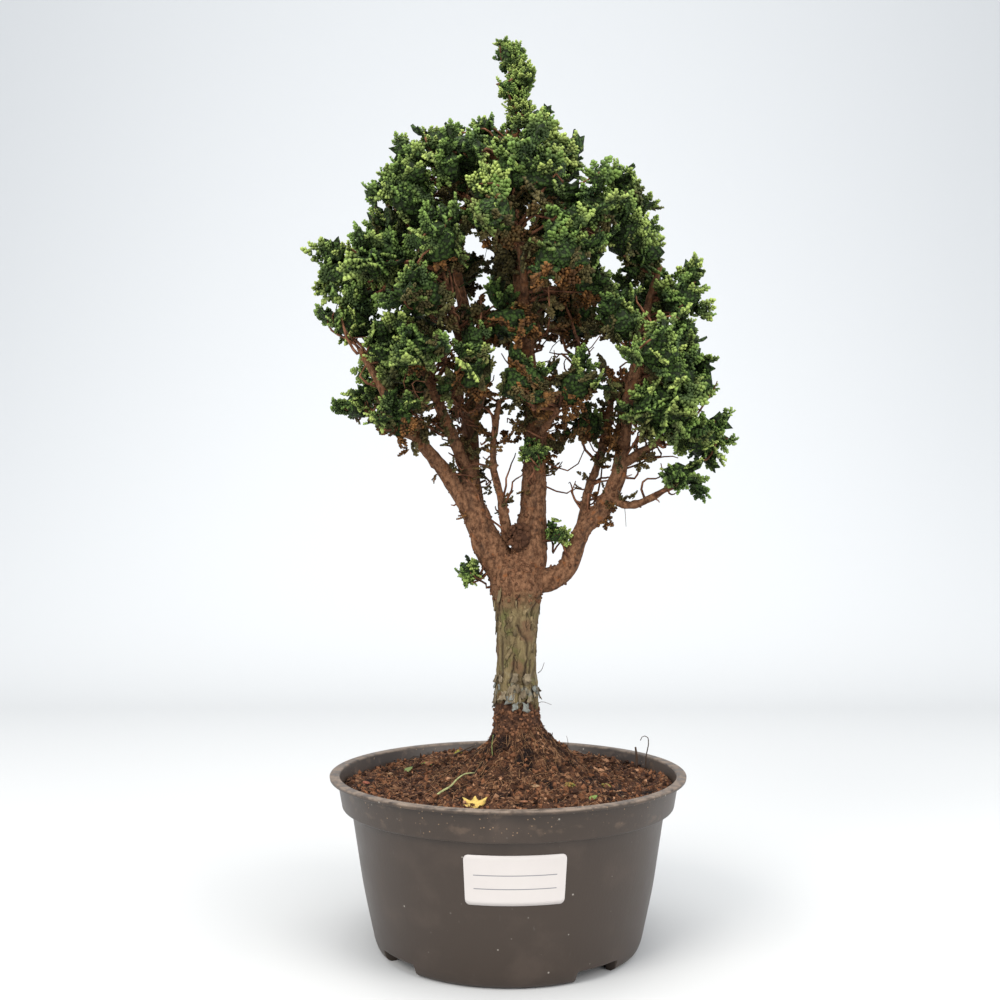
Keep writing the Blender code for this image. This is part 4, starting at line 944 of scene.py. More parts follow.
runs = [(np.array(TRUNK, float) * MM, TRUNK_CRACK_DEPTH, TRUNK_STEP)]
runs += [(np.array(run, float) * MM, LIMB_CRACK_DEPTH, BARK_STEP) for run in LIMBS.values()]
wood_points, wood_faces, wood_cracks, wood_foot, counted = [], [], [], [], 0
for seed, (run, depth, step) in enumerate(runs):
    run[:, 0] += AXIS_X
    points, faces, cracks, foot = bark_tube(run, 10 * seed + 40, depth, step)
    wood_points.append(points)
    wood_faces.append(faces + counted)
    wood_cracks.append(cracks)
    wood_foot.append(foot)
    counted += len(points)


def bark_finish():
    """Bark by height: peat-stained foot, olive-tan trunk with grey patches, red-brown limbs."""
    material, tree, shader = finish_of("bark", (0.16, 0.09, 0.06), 0.88, 0.2)
    height = sum_of(tree, "ADD", part_of_place(tree, "Z"), sum_of(tree, "MULTIPLY", noise_of(tree, 12 * MM, 4), 16 * MM))
    streaks = noise_of(tree, 3.0 * MM, 5, (1, 1, 0.22))
    olive = blended(tree, stepped(tree, streaks, 0.34, 0.66), (0.092, 0.064, 0.031), (0.205, 0.155, 0.074))
    mottle = stepped(tree, noise_of(tree, 1.3 * MM, 5, (1, 1, 0.6), 0.65), 0.56, 0.72)
    olive = blended(tree, sum_of(tree, "MULTIPLY", mottle, 0.65), olive, (0.290, 0.235, 0.130))
    mossy = sum_of(tree, "MULTIPLY", stepped(tree, noise_of(tree, 7 * MM, 5), 0.52, 0.68), 0.65)
    olive = blended(tree, mossy, olive, (0.120, 0.130, 0.038))
    grey = blended(tree, stepped(tree, streaks, 0.4, 0.6), (0.12, 0.125, 0.11), (0.27, 0.28, 0.25))
    plates = tree.nodes.new("ShaderNodeTexVoronoi")
    plates.feature = "DISTANCE_TO_EDGE"
    plates.inputs["Scale"].default_value = 1.0 / (5.2 * MM)
    bent = tree.nodes.new("ShaderNodeVectorMath")
    bent.operation = "MULTIPLY_ADD"
    warp = tree.nodes.new("ShaderNodeTexNoise")
    warp.inputs["Scale"].default_value = 1.0 / (7 * MM)
    tree.links.new(object_place(tree), warp.inputs["Vector"])
    tree.links.new(warp.outputs["Color"], bent.inputs[0])
    bent.inputs[1].default_value = (5 * MM, 5 * MM, 5 * MM)
    tree.links.new(object_place(tree, (1, 1, 0.20)), bent.inputs[2])
    tree.links.new(bent.outputs["Vector"], plates.inputs["Vector"])
    cleft = stepped(tree, plates.outputs["Distance"], 0.040, 0.008)
    cleft = sum_of(tree, "MULTIPLY", cleft, stepped(tree, noise_of(tree, 7 * MM, 4), 0.47, 0.60))
    low_band = sum_of(tree, "MULTIPLY", stepped(tree, height, 126 * MM, 132 * MM), stepped(tree, height, 160 * MM, 145 * MM))
    patches = sum_of(tree, "MULTIPLY", stepped(tree, noise_of(tree, 9 * MM, 3), 0.52, 0.62), low_band)
    trunk = blended(tree, sum_of(tree, "MULTIPLY", patches, 0.6), olive, grey)
    trunk = blended(tree, stepped(tree, noise_of(tree, 14 * MM, 3), 0.50, 0.62), trunk, (0.150, 0.088, 0.046))
    trunk = blended(tree, sum_of(tree, "MULTIPLY", cleft, 0.55), trunk, (0.040, 0.026, 0.014))
    grains = noise_of(tree, 2.0 * MM, 6, (1, 1, 0.7), 0.7)
    limb = blended(tree, stepped(tree, grains, 0.34, 0.66), (0.062, 0.026, 0.012), (0.238, 0.118, 0.061))
    limb = blended(tree, stepped(tree, noise_of(tree, 5 * MM, 4), 0.58, 0.72), limb, (0.21, 0.078, 0.028))
    rust = blended(tree, stepped(tree, noise_of(tree, 6 * MM, 5), 0.48, 0.70), limb, (0.17, 0.066, 0.024))
    limb = blended(tree, stepped(tree, height, 255 * MM, 330 * MM), limb, rust)
    colour = blended(tree, stepped(tree, height, 187 * MM, 203 * MM), trunk, limb)
    foot = blended(tree, stepped(tree, noise_of(tree, 2.5 * MM, 5), 0.4, 0.65), (0.038, 0.017, 0.010), (0.120, 0.056, 0.029))
    colour = blended(tree, painted(tree, "foot"), colour, foot)
    colour = blended(tree, sum_of(tree, "MULTIPLY", painted(tree, "crack"), 0.8), colour, (0.028, 0.016, 0.011))
    tree.links.new(colour, shader.inputs["Base Color"])
    rough = noise_of(tree, 1.3 * MM, 6, (1, 1, 0.55), 0.7)
    split = sum_of(tree, "MULTIPLY", cleft, stepped(tree, height, 200 * MM, 190 * MM))
    relief(tree, shader, sum_of(tree, "SUBTRACT", rough, split), 0.9 * MM)
    return material


bark_material = bark_finish()
wood = put_mesh("trunk_and_limb_bark", np.vstack(wood_points), np.vstack(wood_faces), bark_material)
paint(wood, "crack", np.concatenate(wood_cracks))
paint(wood, "foot", np.concatenate(wood_foot))
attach(wood, "root")
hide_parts("trunk_and_limbs")


# Old bark comes off the trunk in small flakes. They are thickest round the ragged lower edge of the
# bark, where they curl away, and a few stand up along the cracks.
EDGE_FLAKES = 52
TRUNK_FLAKES = 46
FLAKE_ROWS = 5
FLAKE_COLUMNS = 4
FLAKE_SEED = 16
FLAKE_THICKNESS = 0.35 * MM

draw = np.random.default_rng(FLAKE_SEED)
count = EDGE_FLAKES + TRUNK_FLAKES
low = np.arange(count) < EDGE_FLAKES
flake_turn = draw.uniform(0, 2 * math.pi, count)
flake_height = np.where(low, draw.uniform(129, 145, count), draw.uniform(145, 192, count)) * MM
trunk_run = np.array(TRUNK, float) * MM
flake_radius = np.interp(flake_height, trunk_run[:, 2], trunk_run[:, 3]) + np.where(low, 0.9, 0.25) * MM
long = np.where(low, draw.uniform(2.2, 5.0, count), draw.uniform(3.0, 8.0, count)) * MM
wide = np.where(low, draw.uniform(1.4, 4.0, count), draw.uniform(1.0, 2.4, count)) * MM
curl = np.where(low, draw.uniform(0.3, 1.6, count), draw.uniform(0.0, 0.5, count)) * MM
along = np.linspace(-0.5, 0.5, FLAKE_ROWS)[None, :, None]
across = np.linspace(-0.5, 0.5, FLAKE_COLUMNS)[None, None, :]
ragged = 1 + draw.uniform(-0.3, 0.3, (count, FLAKE_ROWS, 1))
aside = across * wide[:, None, None] * ragged + draw.uniform(-0.3, 0.3, (count, FLAKE_ROWS, 1)) * MM
slant = draw.normal(0, 0.25, count)[:, None, None]
height = flake_height[:, None, None] + (along + 0.12 * draw.normal(size=(count, 1, FLAKE_COLUMNS))) * long[:, None, None]
lift = curl[:, None, None] * ((0.5 - along) ** 2 + 0.8 * across**2 * draw.uniform(0, 2, (count, 1, 1)))
out = flake_radius[:, None, None] + lift
turn = flake_turn[:, None, None] + (aside + slant * along * long[:, None, None]) / flake_radius[:, None, None]
flake_points = np.stack([TRUNK_X - 0.2 * MM + out * np.sin(turn), -out * np.cos(turn), height], -1).reshape(-1, 3)
flake_faces = repeated_faces(sheet_faces(FLAKE_ROWS, FLAKE_COLUMNS), count, FLAKE_ROWS * FLAKE_COLUMNS)
flake_tints = np.where(low[:, None], (0.190, 0.150, 0.095), (0.175, 0.130, 0.066)) * draw.uniform(0.6, 1.5, (count, 1))
bluish = low & (draw.uniform(size=count) < 0.35)
flake_tints[bluish] = (0.19, 0.20, 0.18)
flake_material, tree, shader = finish_of("bark_flakes", (0.16, 0.12, 0.07), 0.85, 0.2)
streaks = stepped(tree, noise_of(tree, 1.2 * MM, 5, (1, 1, 0.5)), 0.35, 0.68)
colour = blended(tree, sum_of(tree, "MULTIPLY", streaks, 0.6), painted(tree, "tint", "Color"), (0.055, 0.038, 0.024))
tree.links.new(colour, shader.inputs["Base Color"])
relief(tree, shader, noise_of(tree, 0.8 * MM, 4, (1, 1, 0.5)), 0.25 * MM)
bark_flakes = put_mesh("bark_flakes", flake_points, flake_faces, flake_material)
paint(bark_flakes, "tint", np.repeat(flake_tints, FLAKE_ROWS * FLAKE_COLUMNS, axis=0))
skin = bark_flakes.modifiers.new("skin", "SOLIDIFY")
skin.thickness = FLAKE_THICKNESS
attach(bark_flakes, "root")


# The fork is knobbly with old bark grains, healed buds and a dark burr in the saddle between the
# limbs. The grains thin out up the limbs.
GRAINS = 1250
GRAIN_LOW, GRAIN_HIGH = 186 * MM, 330 * MM
GRAIN_SEED = 17
BURR = np.array([-1.5, -8.5, 222]) * MM
BURR_SIZE = np.array([6.5, 4.0, 7.5]) * MM
BURR_GRAINS = 150

draw = np.random.default_rng(GRAIN_SEED)
all_wood = np.vstack(wood_points)
on_fork = (all_wood[:, 2] > GRAIN_LOW) & (all_wood[:, 2] < GRAIN_HIGH)
band = all_wood[on_fork | ((all_wood[:, 2] > 104 * MM) & (all_wood[:, 2] < 128 * MM))]
likely = np.exp(-np.abs(band[:, 2] - 205 * MM) / (26 * MM)) + 0.05 + 1.2 * (band[:, 2] < 128 * MM)
places = band[draw.choice(len(band), GRAINS, p=likely / likely.sum())]
ball = draw.normal(size=(BURR_GRAINS, 3))
ball = ball / np.linalg.norm(ball, axis=1)[:, None]
places = np.vstack([places, BURR + ball * BURR_SIZE * draw.uniform(0.6, 1.0, (BURR_GRAINS, 1))])
size = np.concatenate([draw.uniform(0.35, 1.15, GRAINS), draw.uniform(0.9, 2.2, BURR_GRAINS)]) * MM
shape = draw.uniform(0.7, 1.3, (len(places), 12, 1)) * grain_points * draw.uniform(0.6, 1.4, (len(places), 1, 3))
shape = np.einsum("nij,nkj->nki", random_turns(draw, len(places)), shape) * size[:, None, None]
grain_material, tree, shader = finish_of("bark_grains", (0.14, 0.07, 0.04), 0.9, 0.15)
colour = blended(tree, painted(tree, "tone"), (0.045, 0.020, 0.011), (0.200, 0.092, 0.047))
tree.links.new(colour, shader.inputs["Base Color"])
relief(tree, shader, noise_of(tree, 0.7 * MM, 3), 0.2 * MM)
tones = np.concatenate([draw.uniform(0.15, 1.0, GRAINS), draw.uniform(0, 0.35, BURR_GRAINS)])
grains = put_mesh("bark_grains", (shape + places[:, None]).reshape(-1, 3), repeated_faces(grain_faces, len(places), 12), grain_material)
paint(grains, "tone", np.repeat(tones, 12))
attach(grains, "root")


# Thin twigs leave the limbs and carry the leafy sprays. They are red-brown, wiry and crooked, and
# show through wherever the leaves are thin.
SPRAY_NODES = [f"spray_{number:02d}" for number in range(1, 57)]
TWIGS_PER_SPRAY = 5
TWIG_ROWS = 8
TWIG_COLUMNS = 4
TWIG_RADII = (1.0 * MM, 0.45 * MM)
TWIG_SEED = 21
FINE_TWIGS = 230
SPURS = 170


def node_triangles(node):
    """A spray's CAD triangles as corner points, with each one's area and outward arrow."""
    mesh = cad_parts[node].data
    mesh.calc_loop_triangles()
    places = np.empty(len(mesh.vertices) * 3)
    mesh.vertices.foreach_get("co", places)
    order = np.empty(len(mesh.loop_triangles) * 3, np.int32)
    mesh.loop_triangles.foreach_get("vertices", order)
    corners = places.reshape(-1, 3)[order.reshape(-1, 3)]
    arrows = np.cross(corners[:, 1] - corners[:, 0], corners[:, 2] - corners[:, 0])
    areas = np.linalg.norm(arrows, axis=1)
    return corners, areas / 2, arrows / np.maximum(areas, 1e-12)[:, None]


def scattered(draw, corners, areas, count):
    """Random places spread evenly over triangles, and the triangle that each lies on."""
    chosen = draw.choice(len(areas), count, p=areas / areas.sum())
    first, second = draw.uniform(size=(2, count, 1))
    folded = first + second > 1
    first, second = np.where(folded, 1 - first, first), np.where(folded, 1 - second, second)
    picked = corners[chosen]
    places = picked[:, 0] + first * (picked[:, 1] - picked[:, 0]) + second * (picked[:, 2] - picked[:, 0])
    return places, chosen


def heart_of(corners, areas):
    """The middle of a spray and how far its leaves reach on the whole."""
    centres = corners.mean(axis=1)
    middle = (centres * areas[:, None]).sum(axis=0) / areas.sum()
    reach = math.sqrt((((centres - middle) ** 2).sum(axis=1) * areas).sum() / areas.sum())
    return middle, reach


limb_places = np.vstack([spline_run(run, 2 * MM)[0][:, :3] for run, *_ in runs[1:]])
draw = np.random.default_rng(TWIG_SEED)
sprays = [(node, *node_triangles(node)) for node in SPRAY_NODES]
twig_points = []
along = np.linspace(0, 1, TWIG_ROWS)[:, None]
for node, corners, areas, arrows in sprays:
    middle, reach = heart_of(corners, areas)
    ends, _ = scattered(draw, corners, areas, TWIGS_PER_SPRAY)
    ends = middle + (ends - middle) * 0.8
    away = np.linalg.norm(limb_places - middle, axis=1) + np.maximum(0, limb_places[:, 2] - middle[2] + 6 * MM)
    nearest = np.argsort(away)
    for number, end in enumerate(ends):
        root = limb_places[nearest[int(draw.integers(0, 9))]]
        span = np.linalg.norm(end - root)
        sway = draw.normal(size=(2, 3)) * span * 0.10
        path = root + (end - root) * along + sway[0] * np.sin(math.pi * along) + sway[1] * np.sin(2 * math.pi * along)
        path = path + draw.normal(size=path.shape) * 0.35 * MM
        points, _ = tube_points(path, np.linspace(*TWIG_RADII, TWIG_ROWS), TWIG_COLUMNS)
        twig_points.append(points)
low_limbs = limb_places[(limb_places[:, 2] > 222 * MM) & (limb_places[:, 2] < 345 * MM)]
for number in range(FINE_TWIGS + SPURS):
    root = low_limbs[int(draw.integers(len(low_limbs)))]
    out = np.array([root[0] - TRUNK_X, root[1], 0.0])
    out = out / (np.linalg.norm(out) + 8 * MM) * 1.1 + draw.normal(size=3) * 0.75 + np.array([0, 0, 0.55])
    fine = number < FINE_TWIGS
    span = (draw.uniform(14, 34) if fine else draw.uniform(4, 9)) * MM
    tip = root + out / np.linalg.norm(out) * span
    low_line = 236 * MM + (0.30 if tip[0] > TRUNK_X else 0.95) * max(0.0, math.hypot(tip[0] - TRUNK_X, tip[1]) - 14 * MM)
    if fine and (tip[2] < low_line or out[2] < 0.1):
        continue
    sway = draw.normal(size=(2, 3)) * span * 0.12
    path = root + out / np.linalg.norm(out) * span * along + sway[0] * np.sin(math.pi * along)
    path = path + sway[1] * np.sin(2 * math.pi * along) + draw.normal(size=path.shape) * 0.3 * MM
    thick = 0.75 * MM if fine else 0.9 * MM
    points, _ = tube_points(path, np.linspace(thick, 0.28 * MM, TWIG_ROWS), TWIG_COLUMNS)
    twig_points.append(points)
twig_faces = repeated_faces(tube_faces(TWIG_ROWS, TWIG_COLUMNS), len(twig_points), TWIG_ROWS * TWIG_COLUMNS + 2)
twig_material, tree, shader = finish_of("twig_bark", (0.16, 0.08, 0.05), 0.85, 0.2)
colour = blended(tree, stepped(tree, noise_of(tree, 5 * MM, 4), 0.38, 0.66), (0.070, 0.028, 0.014), (0.23, 0.098, 0.050))
tree.links.new(colour, shader.inputs["Base Color"])
relief(tree, shader, noise_of(tree, 0.8 * MM, 4), 0.25 * MM)
twigs = put_mesh("twigs", np.vstack(twig_points), twig_faces, twig_material)
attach(twigs, "root")


# Each leafy spray is a bunch of flat fans of tiny rounded scale leaves, packed like coral. The tips
# are fresh yellow-green, the rest dark green, and what lies deep inside is olive and brown, partly
# from real drying and partly painted shade: low, inward, downward-facing and recessed tufts are
# darkened and browned, and each spray's dense inside is a near-black core of painted shade.
TUFTS = 1120
FROND_LENGTH = 6.0 * MM
FROND_BEADS = [
    (0.18, 0, 0.50, 0.33), (0.62, 0, 0.43, 0.38),
    (0.10, -50, 0.50, 0.34), (0.10, 50, 0.50, 0.34), (0.46, -44, 0.43, 0.35), (0.46, 44, 0.43, 0.35),
]
BEAD_OUTLINE = np.array([(0.0, 0.0), (0.45, 0.5), (0.93, 0.30), (0.93, -0.30), (0.45, -0.5)])
TUFT_FRONDS = [
    (0.10, -80), (0.15, -48), (0.20, -16), (0.20, 16), (0.15, 48), (0.10, 80), (0.75, -44), (0.82, 0), (0.75, 44),
]
TUFT_SEED = 31
SKY_RAYS = 40
OPEN_POWER = 1.3
CANDIDATE_AREA = 14 * MM**2
CORE_SHARE = 0.85
ROOT_DEPTH = 4.5 * MM
DRAWN_IN = 0.88
SPIRE_SPRAYS = 3
SPIRE_DRAWN_IN = 0.62
# HOLLOW is the crown's recess, whose tufts are darkened and browned as painted shade.
HOLLOW = (6 * MM, 338 * MM, 44 * MM, 50 * MM)


def frond_shape():
    """One small frond: six beads in a fan, each a blunt lump with five sides and a flat underside."""
    points, faces, tips = [], [], []
    for start, angle, length, width in FROND_BEADS:
        turn = math.radians(angle)
        ahead = np.array([math.cos(turn), math.sin(turn), 0])
        aside = np.array([-math.sin(turn), math.cos(turn), 0])
        over = np.array([0, 0, 1.0])
        root = np.array([start, 0, 0])
        outline = root + BEAD_OUTLINE[:, :1] * length * ahead + BEAD_OUTLINE[:, 1:] * width * aside
        middle = root + ahead * length * 0.6
        bead = np.vstack([outline - over * width * 0.20, middle + over * width * 0.55])
        sides = np.array([(k, (k + 1) % 5, 5) for k in range(5)] + [(0, 1, 2), (0, 2, 3), (0, 3, 4)])
        faces.append(outward(bead, sides) + 6 * len(points))
        points.append(bead)
        tips.append(np.clip((bead[:, 0] - 0.1) / 0.8, 0, 1))
    points = np.vstack(points)
    points[:, 2] += 0.16 * points[:, 0] ** 2
    return points, np.vstack(faces), np.concatenate(tips)


def spread_out(draw, places, count):
    """A choice of places that lie well apart: each next one is the farthest from those chosen."""
    chosen = [int(draw.integers(len(places)))]
    nearest = np.linalg.norm(places - places[chosen[0]], axis=1)
    while len(chosen) < count:
        chosen.append(int(np.argmax(nearest)))
        nearest = np.minimum(nearest, np.linalg.norm(places - places[chosen[-1]], axis=1))
    return np.array(chosen)


frond_points, frond_faces, frond_tips = frond_shape()
tuft_layout = np.array(TUFT_FRONDS, float)


def tuft_fronds(draw, roots, along, facing, scale, tuft_layout):
    """Every frond's root, rotation and size for a set of fan-shaped tufts, and how far out it lies."""
    count, fronds = len(roots), len(tuft_layout)
    turn = np.radians(tuft_layout[:, 1] + draw.uniform(-12, 12, (count, fronds)))
    distance = (tuft_layout[:, 0] * draw.uniform(0.85, 1.15, (count, fronds))) * FROND_LENGTH * scale[:, None]
    frames = square_frames(along, facing)
    flat = np.stack([np.cos(turn), np.sin(turn), np.zeros_like(turn)], -1)
    cup = draw.uniform(-0.1, 0.5, (count, 1)) * distance**2 / (2.2 * FROND_LENGTH)
    local = flat * distance[..., None]
    local[..., 2] += cup + draw.uniform(-0.6, 0.6, (count, fronds)) * MM
    places = roots[:, None] + np.einsum("nij,nfj->nfi", frames, local)
    heading = flat + draw.normal(size=flat.shape) * 0.16
    heading[..., 2] += draw.uniform(-0.25, 0.45, (count, fronds))
    heading = np.einsum("nij,nfj->nfi", frames, heading)
    over = frames[:, None, :, 2] + draw.normal(size=heading.shape) * 0.22
    turns = square_frames(heading, np.broadcast_to(over, heading.shape))
    sizes = FROND_LENGTH * scale[:, None] * draw.uniform(0.8, 1.2, (count, fronds))
    return places, turns, sizes, tuft_layout[:, 0] / tuft_layout[:, 0].max()


def grown_leaves(draw, roots, way, facing, scale, tone, dryness_and_shade, layout):
    """All the points of a set of tufts, and for each point how near the tip, how fresh, and how far dried and darkened
    as painted shade.
    """
    spots, turns, sizes, out = tuft_fronds(draw, roots, way, facing, scale, layout)
    shape = np.einsum("nij,kj->nki", turns.reshape(-1, 3, 3), frond_points) * sizes.reshape(-1, 1, 1)
    points = shape + spots.reshape(-1, 1, 3)
    tip = 0.45 * np.broadcast_to(out, spots.shape[:2])[..., None] + 0.55 * frond_tips
    growth_and_shade = np.stack([tip, np.broadcast_to(tone[:, None, None], tip.shape), np.broadcast_to(dryness_and_shade[:, None, None], tip.shape)], -1)
    return points.reshape(-1, 3), growth_and_shade.reshape(-1, 3)


def leaf_finish():
    """Scale leaves: dark green to fresh yellow-green at the tips, olive and brown deep inside from drying and painted
    shade, and a near-black core of painted shade.
    """
    material, tree, shader = finish_of("leaf", (0.05, 0.12, 0.03), 0.65, 0.15)
    split = tree.nodes.new("ShaderNodeSeparateColor")
    tree.links.new(painted(tree, "growth_and_shade", "Color"), split.inputs["Color"])
    tip, tone, dryness_and_shade = (split.outputs[part] for part in ("Red", "Green", "Blue"))
    patch = noise_of(tree, 26 * MM, 4)
    deep = blended(tree, tone, (0.025, 0.046, 0.018), (0.056, 0.083, 0.022))
    fresh = blended(tree, stepped(tree, tone, 0.25, 0.9), (0.150, 0.235, 0.052), (0.360, 0.440, 0.115))
    lit = sum_of(tree, "ADD", tip, sum_of(tree, "MULTIPLY", sum_of(tree, "SUBTRACT", patch, 0.5), 0.9))
    green = blended(tree, stepped(tree, lit, 0.30, 0.98), deep, fresh)
    olive = blended(tree, stepped(tree, noise_of(tree, 5 * MM, 4), 0.40, 0.64), (0.042, 0.036, 0.014), (0.120, 0.098, 0.036))
    straw = blended(tree, stepped(tree, noise_of(tree, 4 * MM, 4), 0.42, 0.62), (0.070, 0.030, 0.011), (0.215, 0.092, 0.026))
    # Olive, then straw brown, by the third channel, which holds real drying and painted shade together.
    colour = blended(tree, stepped(tree, dryness_and_shade, 0.0, 0.55), green, olive)
    colour = blended(tree, stepped(tree, dryness_and_shade, 0.62, 1.0), colour, straw)
    cells = tree.nodes.new("ShaderNodeTexVoronoi")
    cells.inputs["Scale"].default_value = 1.0 / (2.1 * MM)
    tree.links.new(object_place(tree), cells.inputs["Vector"])
    bead = stepped(tree, cells.outputs["Distance"], 0.75, 0.30)
    # The core is painted shade: near-black green, darker still in the gaps between its beads.
    shaded = blended(tree, bead, (0.010, 0.016, 0.005), (0.040, 0.075, 0.015))
    colour = blended(tree, painted(tree, "deep"), colour, shaded)
    tree.links.new(colour, shader.inputs["Base Color"])
    relief(tree, shader, sum_of(tree, "MULTIPLY", bead, painted(tree, "deep")), 1.2 * MM)
    return material


def shade_core(corners):
    """The dense inside of a spray, coloured near black as painted shade: its CAD form drawn in a little and roughened
    by noise.
    """
    _, first, index = np.unique(np.round(corners.reshape(-1, 3), 7), axis=0, return_index=True, return_inverse=True)
    points, faces = corners.reshape(-1, 3)[first], index.reshape(-1, 3)
    faces = faces[(faces[:, 0] != faces[:, 1]) & (faces[:, 1] != faces[:, 2]) & (faces[:, 2] != faces[:, 0])]
    arrows = np.cross(points[faces[:, 1]] - points[faces[:, 0]], points[faces[:, 2]] - points[faces[:, 0]])
    normals = np.zeros_like(points)
    for corner in range(3):
        np.add.at(normals, faces[:, corner], arrows)
    normals = normals / np.maximum(np.linalg.norm(normals, axis=1), 1e-15)[:, None]
    return points + normals * (lattice_noise(points / (2.6 * MM), 71) - 1.0)[:, None] * 1.8 * MM, faces


leaf_material = leaf_finish()
def open_share(places, arrows, thicket):
    """How much of the sky in front of each place is free of leaves: rays that leave the crown."""
    index = np.arange(SKY_RAYS) + 0.5
    lift = np.arccos(1 - 2 * index / SKY_RAYS)
    turn = math.pi * (1 + 5**0.5) * index
    rays = np.stack([np.sin(lift) * np.cos(turn), np.sin(lift) * np.sin(turn), np.cos(lift)], -1)
    free = np.zeros(len(places))
    tried = np.zeros(len(places))
    for place, arrow, number in zip(places, arrows, range(len(places))):
        for ray in rays[rays @ arrow > 0.2]:
            tried[number] += 1
            free[number] += thicket.ray_cast(place + arrow * 0.8 * MM, ray, 0.3)[0] is None
    return free / np.maximum(tried, 1)


draw = np.random.default_rng(TUFT_SEED)
crown = np.concatenate([corners for _, corners, _, _ in sprays]).reshape(-1, 3)
thicket = BVHTree.FromPolygons(crown.tolist(), np.arange(len(crown)).reshape(-1, 3).tolist())
candidates = []
for node, corners, areas, arrows in sprays:
    places, owners = scattered(draw, corners, areas, int(areas.sum() / CANDIDATE_AREA))
    openness = open_share(places, arrows[owners], thicket) ** OPEN_POWER + 0.03
    candidates.append((places, arrows[owners], openness))
all_open = sum(openness.sum() for _, _, openness in candidates)
crown_heart = np.array([AXIS_X + 4 * MM, 0, 345 * MM])
for (node, corners, areas, arrows), (places, faced, openness) in zip(sprays, candidates):
    count = max(12, int(round(TUFTS * openness.sum() / all_open)))
    middle, reach = heart_of(corners, areas)
    likely = draw.choice(len(places), min(len(places), 3 * count), replace=False, p=openness / openness.sum())
    kept = likely[spread_out(draw, places[likely], min(count, len(likely)))]
    count = len(kept)
    spire = node in SPRAY_NODES[:SPIRE_SPRAYS]
    roots, faced = middle + (places[kept] - middle) * (SPIRE_DRAWN_IN if spire else DRAWN_IN), faced[kept]
    outward_way = (roots - middle) / np.linalg.norm(roots - middle, axis=1)[:, None]
    from_heart = (roots - crown_heart) / np.array([95, 70, 120]) / MM
    outer = np.linalg.norm(from_heart, axis=1)
    way = 0.9 * outward_way + 0.35 * from_heart + draw.normal(size=roots.shape) * 0.45 + np.array([0, 0, 0.30])
    facing = faced * 0.7 + np.array([0, 0, 0.65]) + outward_way * 0.5 + draw.normal(size=roots.shape) * 0.35
    scale = draw.uniform(0.78, 1.18, count) * min(1.0, 0.30 + reach / (24 * MM))
    roots = roots - way / np.linalg.norm(way, axis=1)[:, None] * ROOT_DEPTH
    tone = np.clip(draw.normal(0.45, 0.24, count), 0, 1)
    patch = lattice_noise(roots / (24 * MM) + 5.5, 77)
    under = np.clip((322 * MM - roots[:, 2]) / (50 * MM), 0, 1) * np.clip(2.2 * patch - 0.7, 0, 1)
    under = under * (reach > 9 * MM)
    hollow_x, hollow_z, hollow_wide, hollow_high = HOLLOW
    recess = ((roots[:, 0] - AXIS_X - hollow_x) / hollow_wide) ** 2 + ((roots[:, 2] - hollow_z) / hollow_high) ** 2
    recess = np.exp(-recess) * (0.75 - 0.9 * (outward_way[:, 2] > 0.55))
    # shade mixes real drying of inner and low sprays with painted shade: tufts that face down, lie inward or sit in the
    # hollow are browned and darkened.
    shade = 0.55 * (reach > 9 * MM) - 0.75 * outer - 0.30 * outward_way[:, 2] + 0.75 * under + recess
    shade = np.clip((shade + draw.normal(0, 0.16, count)) * 1.5, 0, 0.92)
    # Painted shade: shaded tufts also get a darker, less yellow green.
    tone = tone * (1 - 0.5 * np.clip(shade, 0, 1))
    points, growth_and_shade = grown_leaves(draw, roots, way, facing, scale, tone, shade, tuft_layout)
    # Each spray's core is a dark inner sheet of painted shade.
    core, core_sides = shade_core(middle + (corners - middle) * (SPIRE_DRAWN_IN if spire else CORE_SHARE))
    fronds = count * len(tuft_layout)
    faces = np.vstack([repeated_faces(frond_faces, fronds, len(frond_points)), core_sides + len(points)])
    foliage = put_mesh(f"{node}_leaves", np.vstack([points, core]), faces, leaf_material)
    paint(foliage, "growth_and_shade", np.vstack([growth_and_shade, np.zeros((len(core), 3))]))
    paint(foliage, "deep", np.concatenate([np.zeros(len(points)), np.ones(len(core))]))
    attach(foliage, "root")
    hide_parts(node)


# The leader ends in a thin upright plume whose tip hooks to the left. Its leaves stand close round
# the stem, all the way from the top of the crown.
PLUME = [
    (9, 3, 446, 14), (9.5, 3, 455, 13), (7.5, 3, 462, 10), (6, 3, 473, 9), (6.5, 3, 484, 8.5), (5, 3, 491, 8),
    (1, 3, 498, 6.5), (-3.5, 3, 503, 4),
]
PLUME_TUFTS = 78

draw = np.random.default_rng(TUFT_SEED + 1)
plume_run, _ = spline_run(np.array(PLUME, float) * MM + np.array([AXIS_X, 0, 0, 0]), 0.5 * MM)
chosen = plume_run[np.sort(draw.integers(0, len(plume_run), PLUME_TUFTS))]
turn = np.arange(PLUME_TUFTS) * 2.4
side = np.stack([np.sin(turn), -np.cos(turn), np.zeros(PLUME_TUFTS)], -1)
roots = chosen[:, :3] + side * np.maximum(chosen[:, 3:] - 6.0 * MM, 0)
way = side + np.array([0, 0, 0.75]) + draw.normal(size=side.shape) * 0.25
facing = side * 0.6 + np.array([0, 0, 0.7]) + draw.normal(size=side.shape) * 0.25
scale = draw.uniform(0.5, 0.72, PLUME_TUFTS)
points, growth_and_shade = grown_leaves(draw, roots, way, facing, scale, draw.uniform(0.4, 1.0, PLUME_TUFTS),
                              np.zeros(PLUME_TUFTS), tuft_layout)
faces = repeated_faces(frond_faces, PLUME_TUFTS * len(tuft_layout), len(frond_points))
plume = put_mesh("leader_plume", points, faces, leaf_material)
paint(plume, "growth_and_shade", growth_and_shade)
paint(plume, "deep", np.zeros(len(points)))
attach(plume, "root")


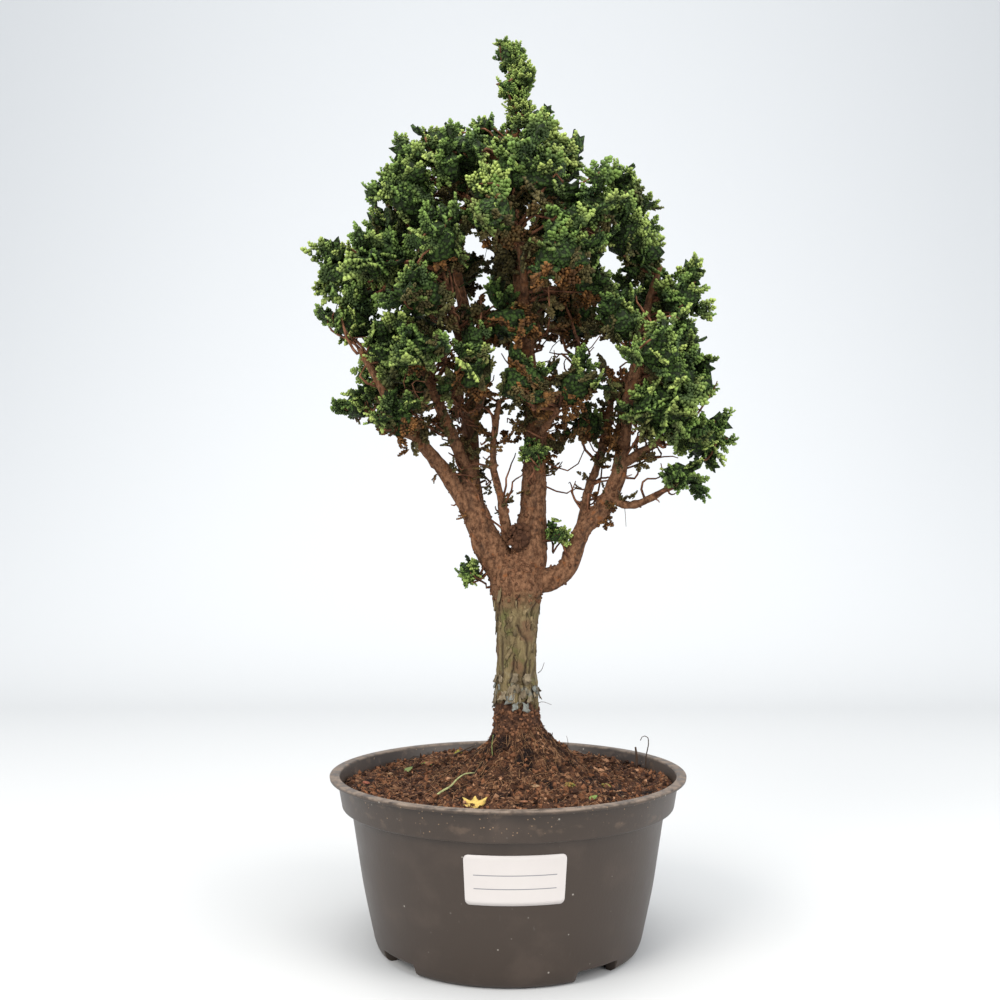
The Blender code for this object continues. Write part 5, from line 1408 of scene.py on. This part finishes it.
# Inside the crown, where no light comes, the old sprays have dried to rust-brown and olive wisps that
# still hang on the limbs.
DRIED_TUFTS = 420
DRIED_LOW, DRIED_HIGH = 234 * MM, 440 * MM
DRIED_FRONDS = np.array([(0.1, -60), (0.15, -10), (0.1, 45), (0.8, -25), (0.75, 30)], float)
DRIED_OPEN = 0.30
HEART_TUFTS = 80
HEART = np.array([[-8, 10, 386], [26, 16, 22]]) * MM

draw = np.random.default_rng(TUFT_SEED + 2)
inner = limb_places[(limb_places[:, 2] > DRIED_LOW) & (limb_places[:, 2] < DRIED_HIGH)]
inner = inner[np.abs(inner[:, 0] - AXIS_X - 5 * MM) < 66 * MM]
roots = inner[draw.integers(0, len(inner), DRIED_TUFTS)]
deep_in = np.clip((roots[:, 2:] - 255 * MM) / (50 * MM), 0, 1)
way = draw.normal(size=roots.shape) + np.array([0, 0, 0.2])
roots = roots + way / np.linalg.norm(way, axis=1)[:, None] * (2 + draw.uniform(0, 3 + 19 * deep_in)) * MM
heart = draw.normal(size=(HEART_TUFTS, 3))
heart = heart / np.linalg.norm(heart, axis=1)[:, None] * draw.uniform(0.3, 1, (HEART_TUFTS, 1))
roots = np.vstack([roots, HEART[0] + (AXIS_X, 0, 0) + heart * HEART[1]])
way = np.vstack([way, heart + draw.normal(size=heart.shape) * 0.3])
upward = np.tile((0.0, 0.0, 1.0), (len(roots), 1))
kept = (open_share(roots, upward, thicket) < DRIED_OPEN) | (roots[:, 2] < 300 * MM)
roots, way = roots[kept], way[kept]
dried_count = len(roots)
facing = draw.normal(size=roots.shape) + np.array([0, 0, 0.5])
scale = draw.uniform(0.45, 0.75, dried_count) + 0.5 * np.clip((roots[:, 2] - 255 * MM) / (50 * MM), 0, 1)
dryness_and_shade = np.where(roots[:, 2] < 330 * MM, draw.uniform(0.55, 1.0, dried_count), draw.uniform(0.4, 0.9, dried_count))
points, growth_and_shade = grown_leaves(draw, roots, way, facing, scale, draw.uniform(0, 0.5, dried_count), dryness_and_shade, DRIED_FRONDS)
faces = repeated_faces(frond_faces, dried_count * len(DRIED_FRONDS), len(frond_points))
dried = put_mesh("dried_leaves", points, faces, leaf_material)
paint(dried, "growth_and_shade", growth_and_shade)
paint(dried, "deep", np.zeros(len(points)))
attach(dried, "root")
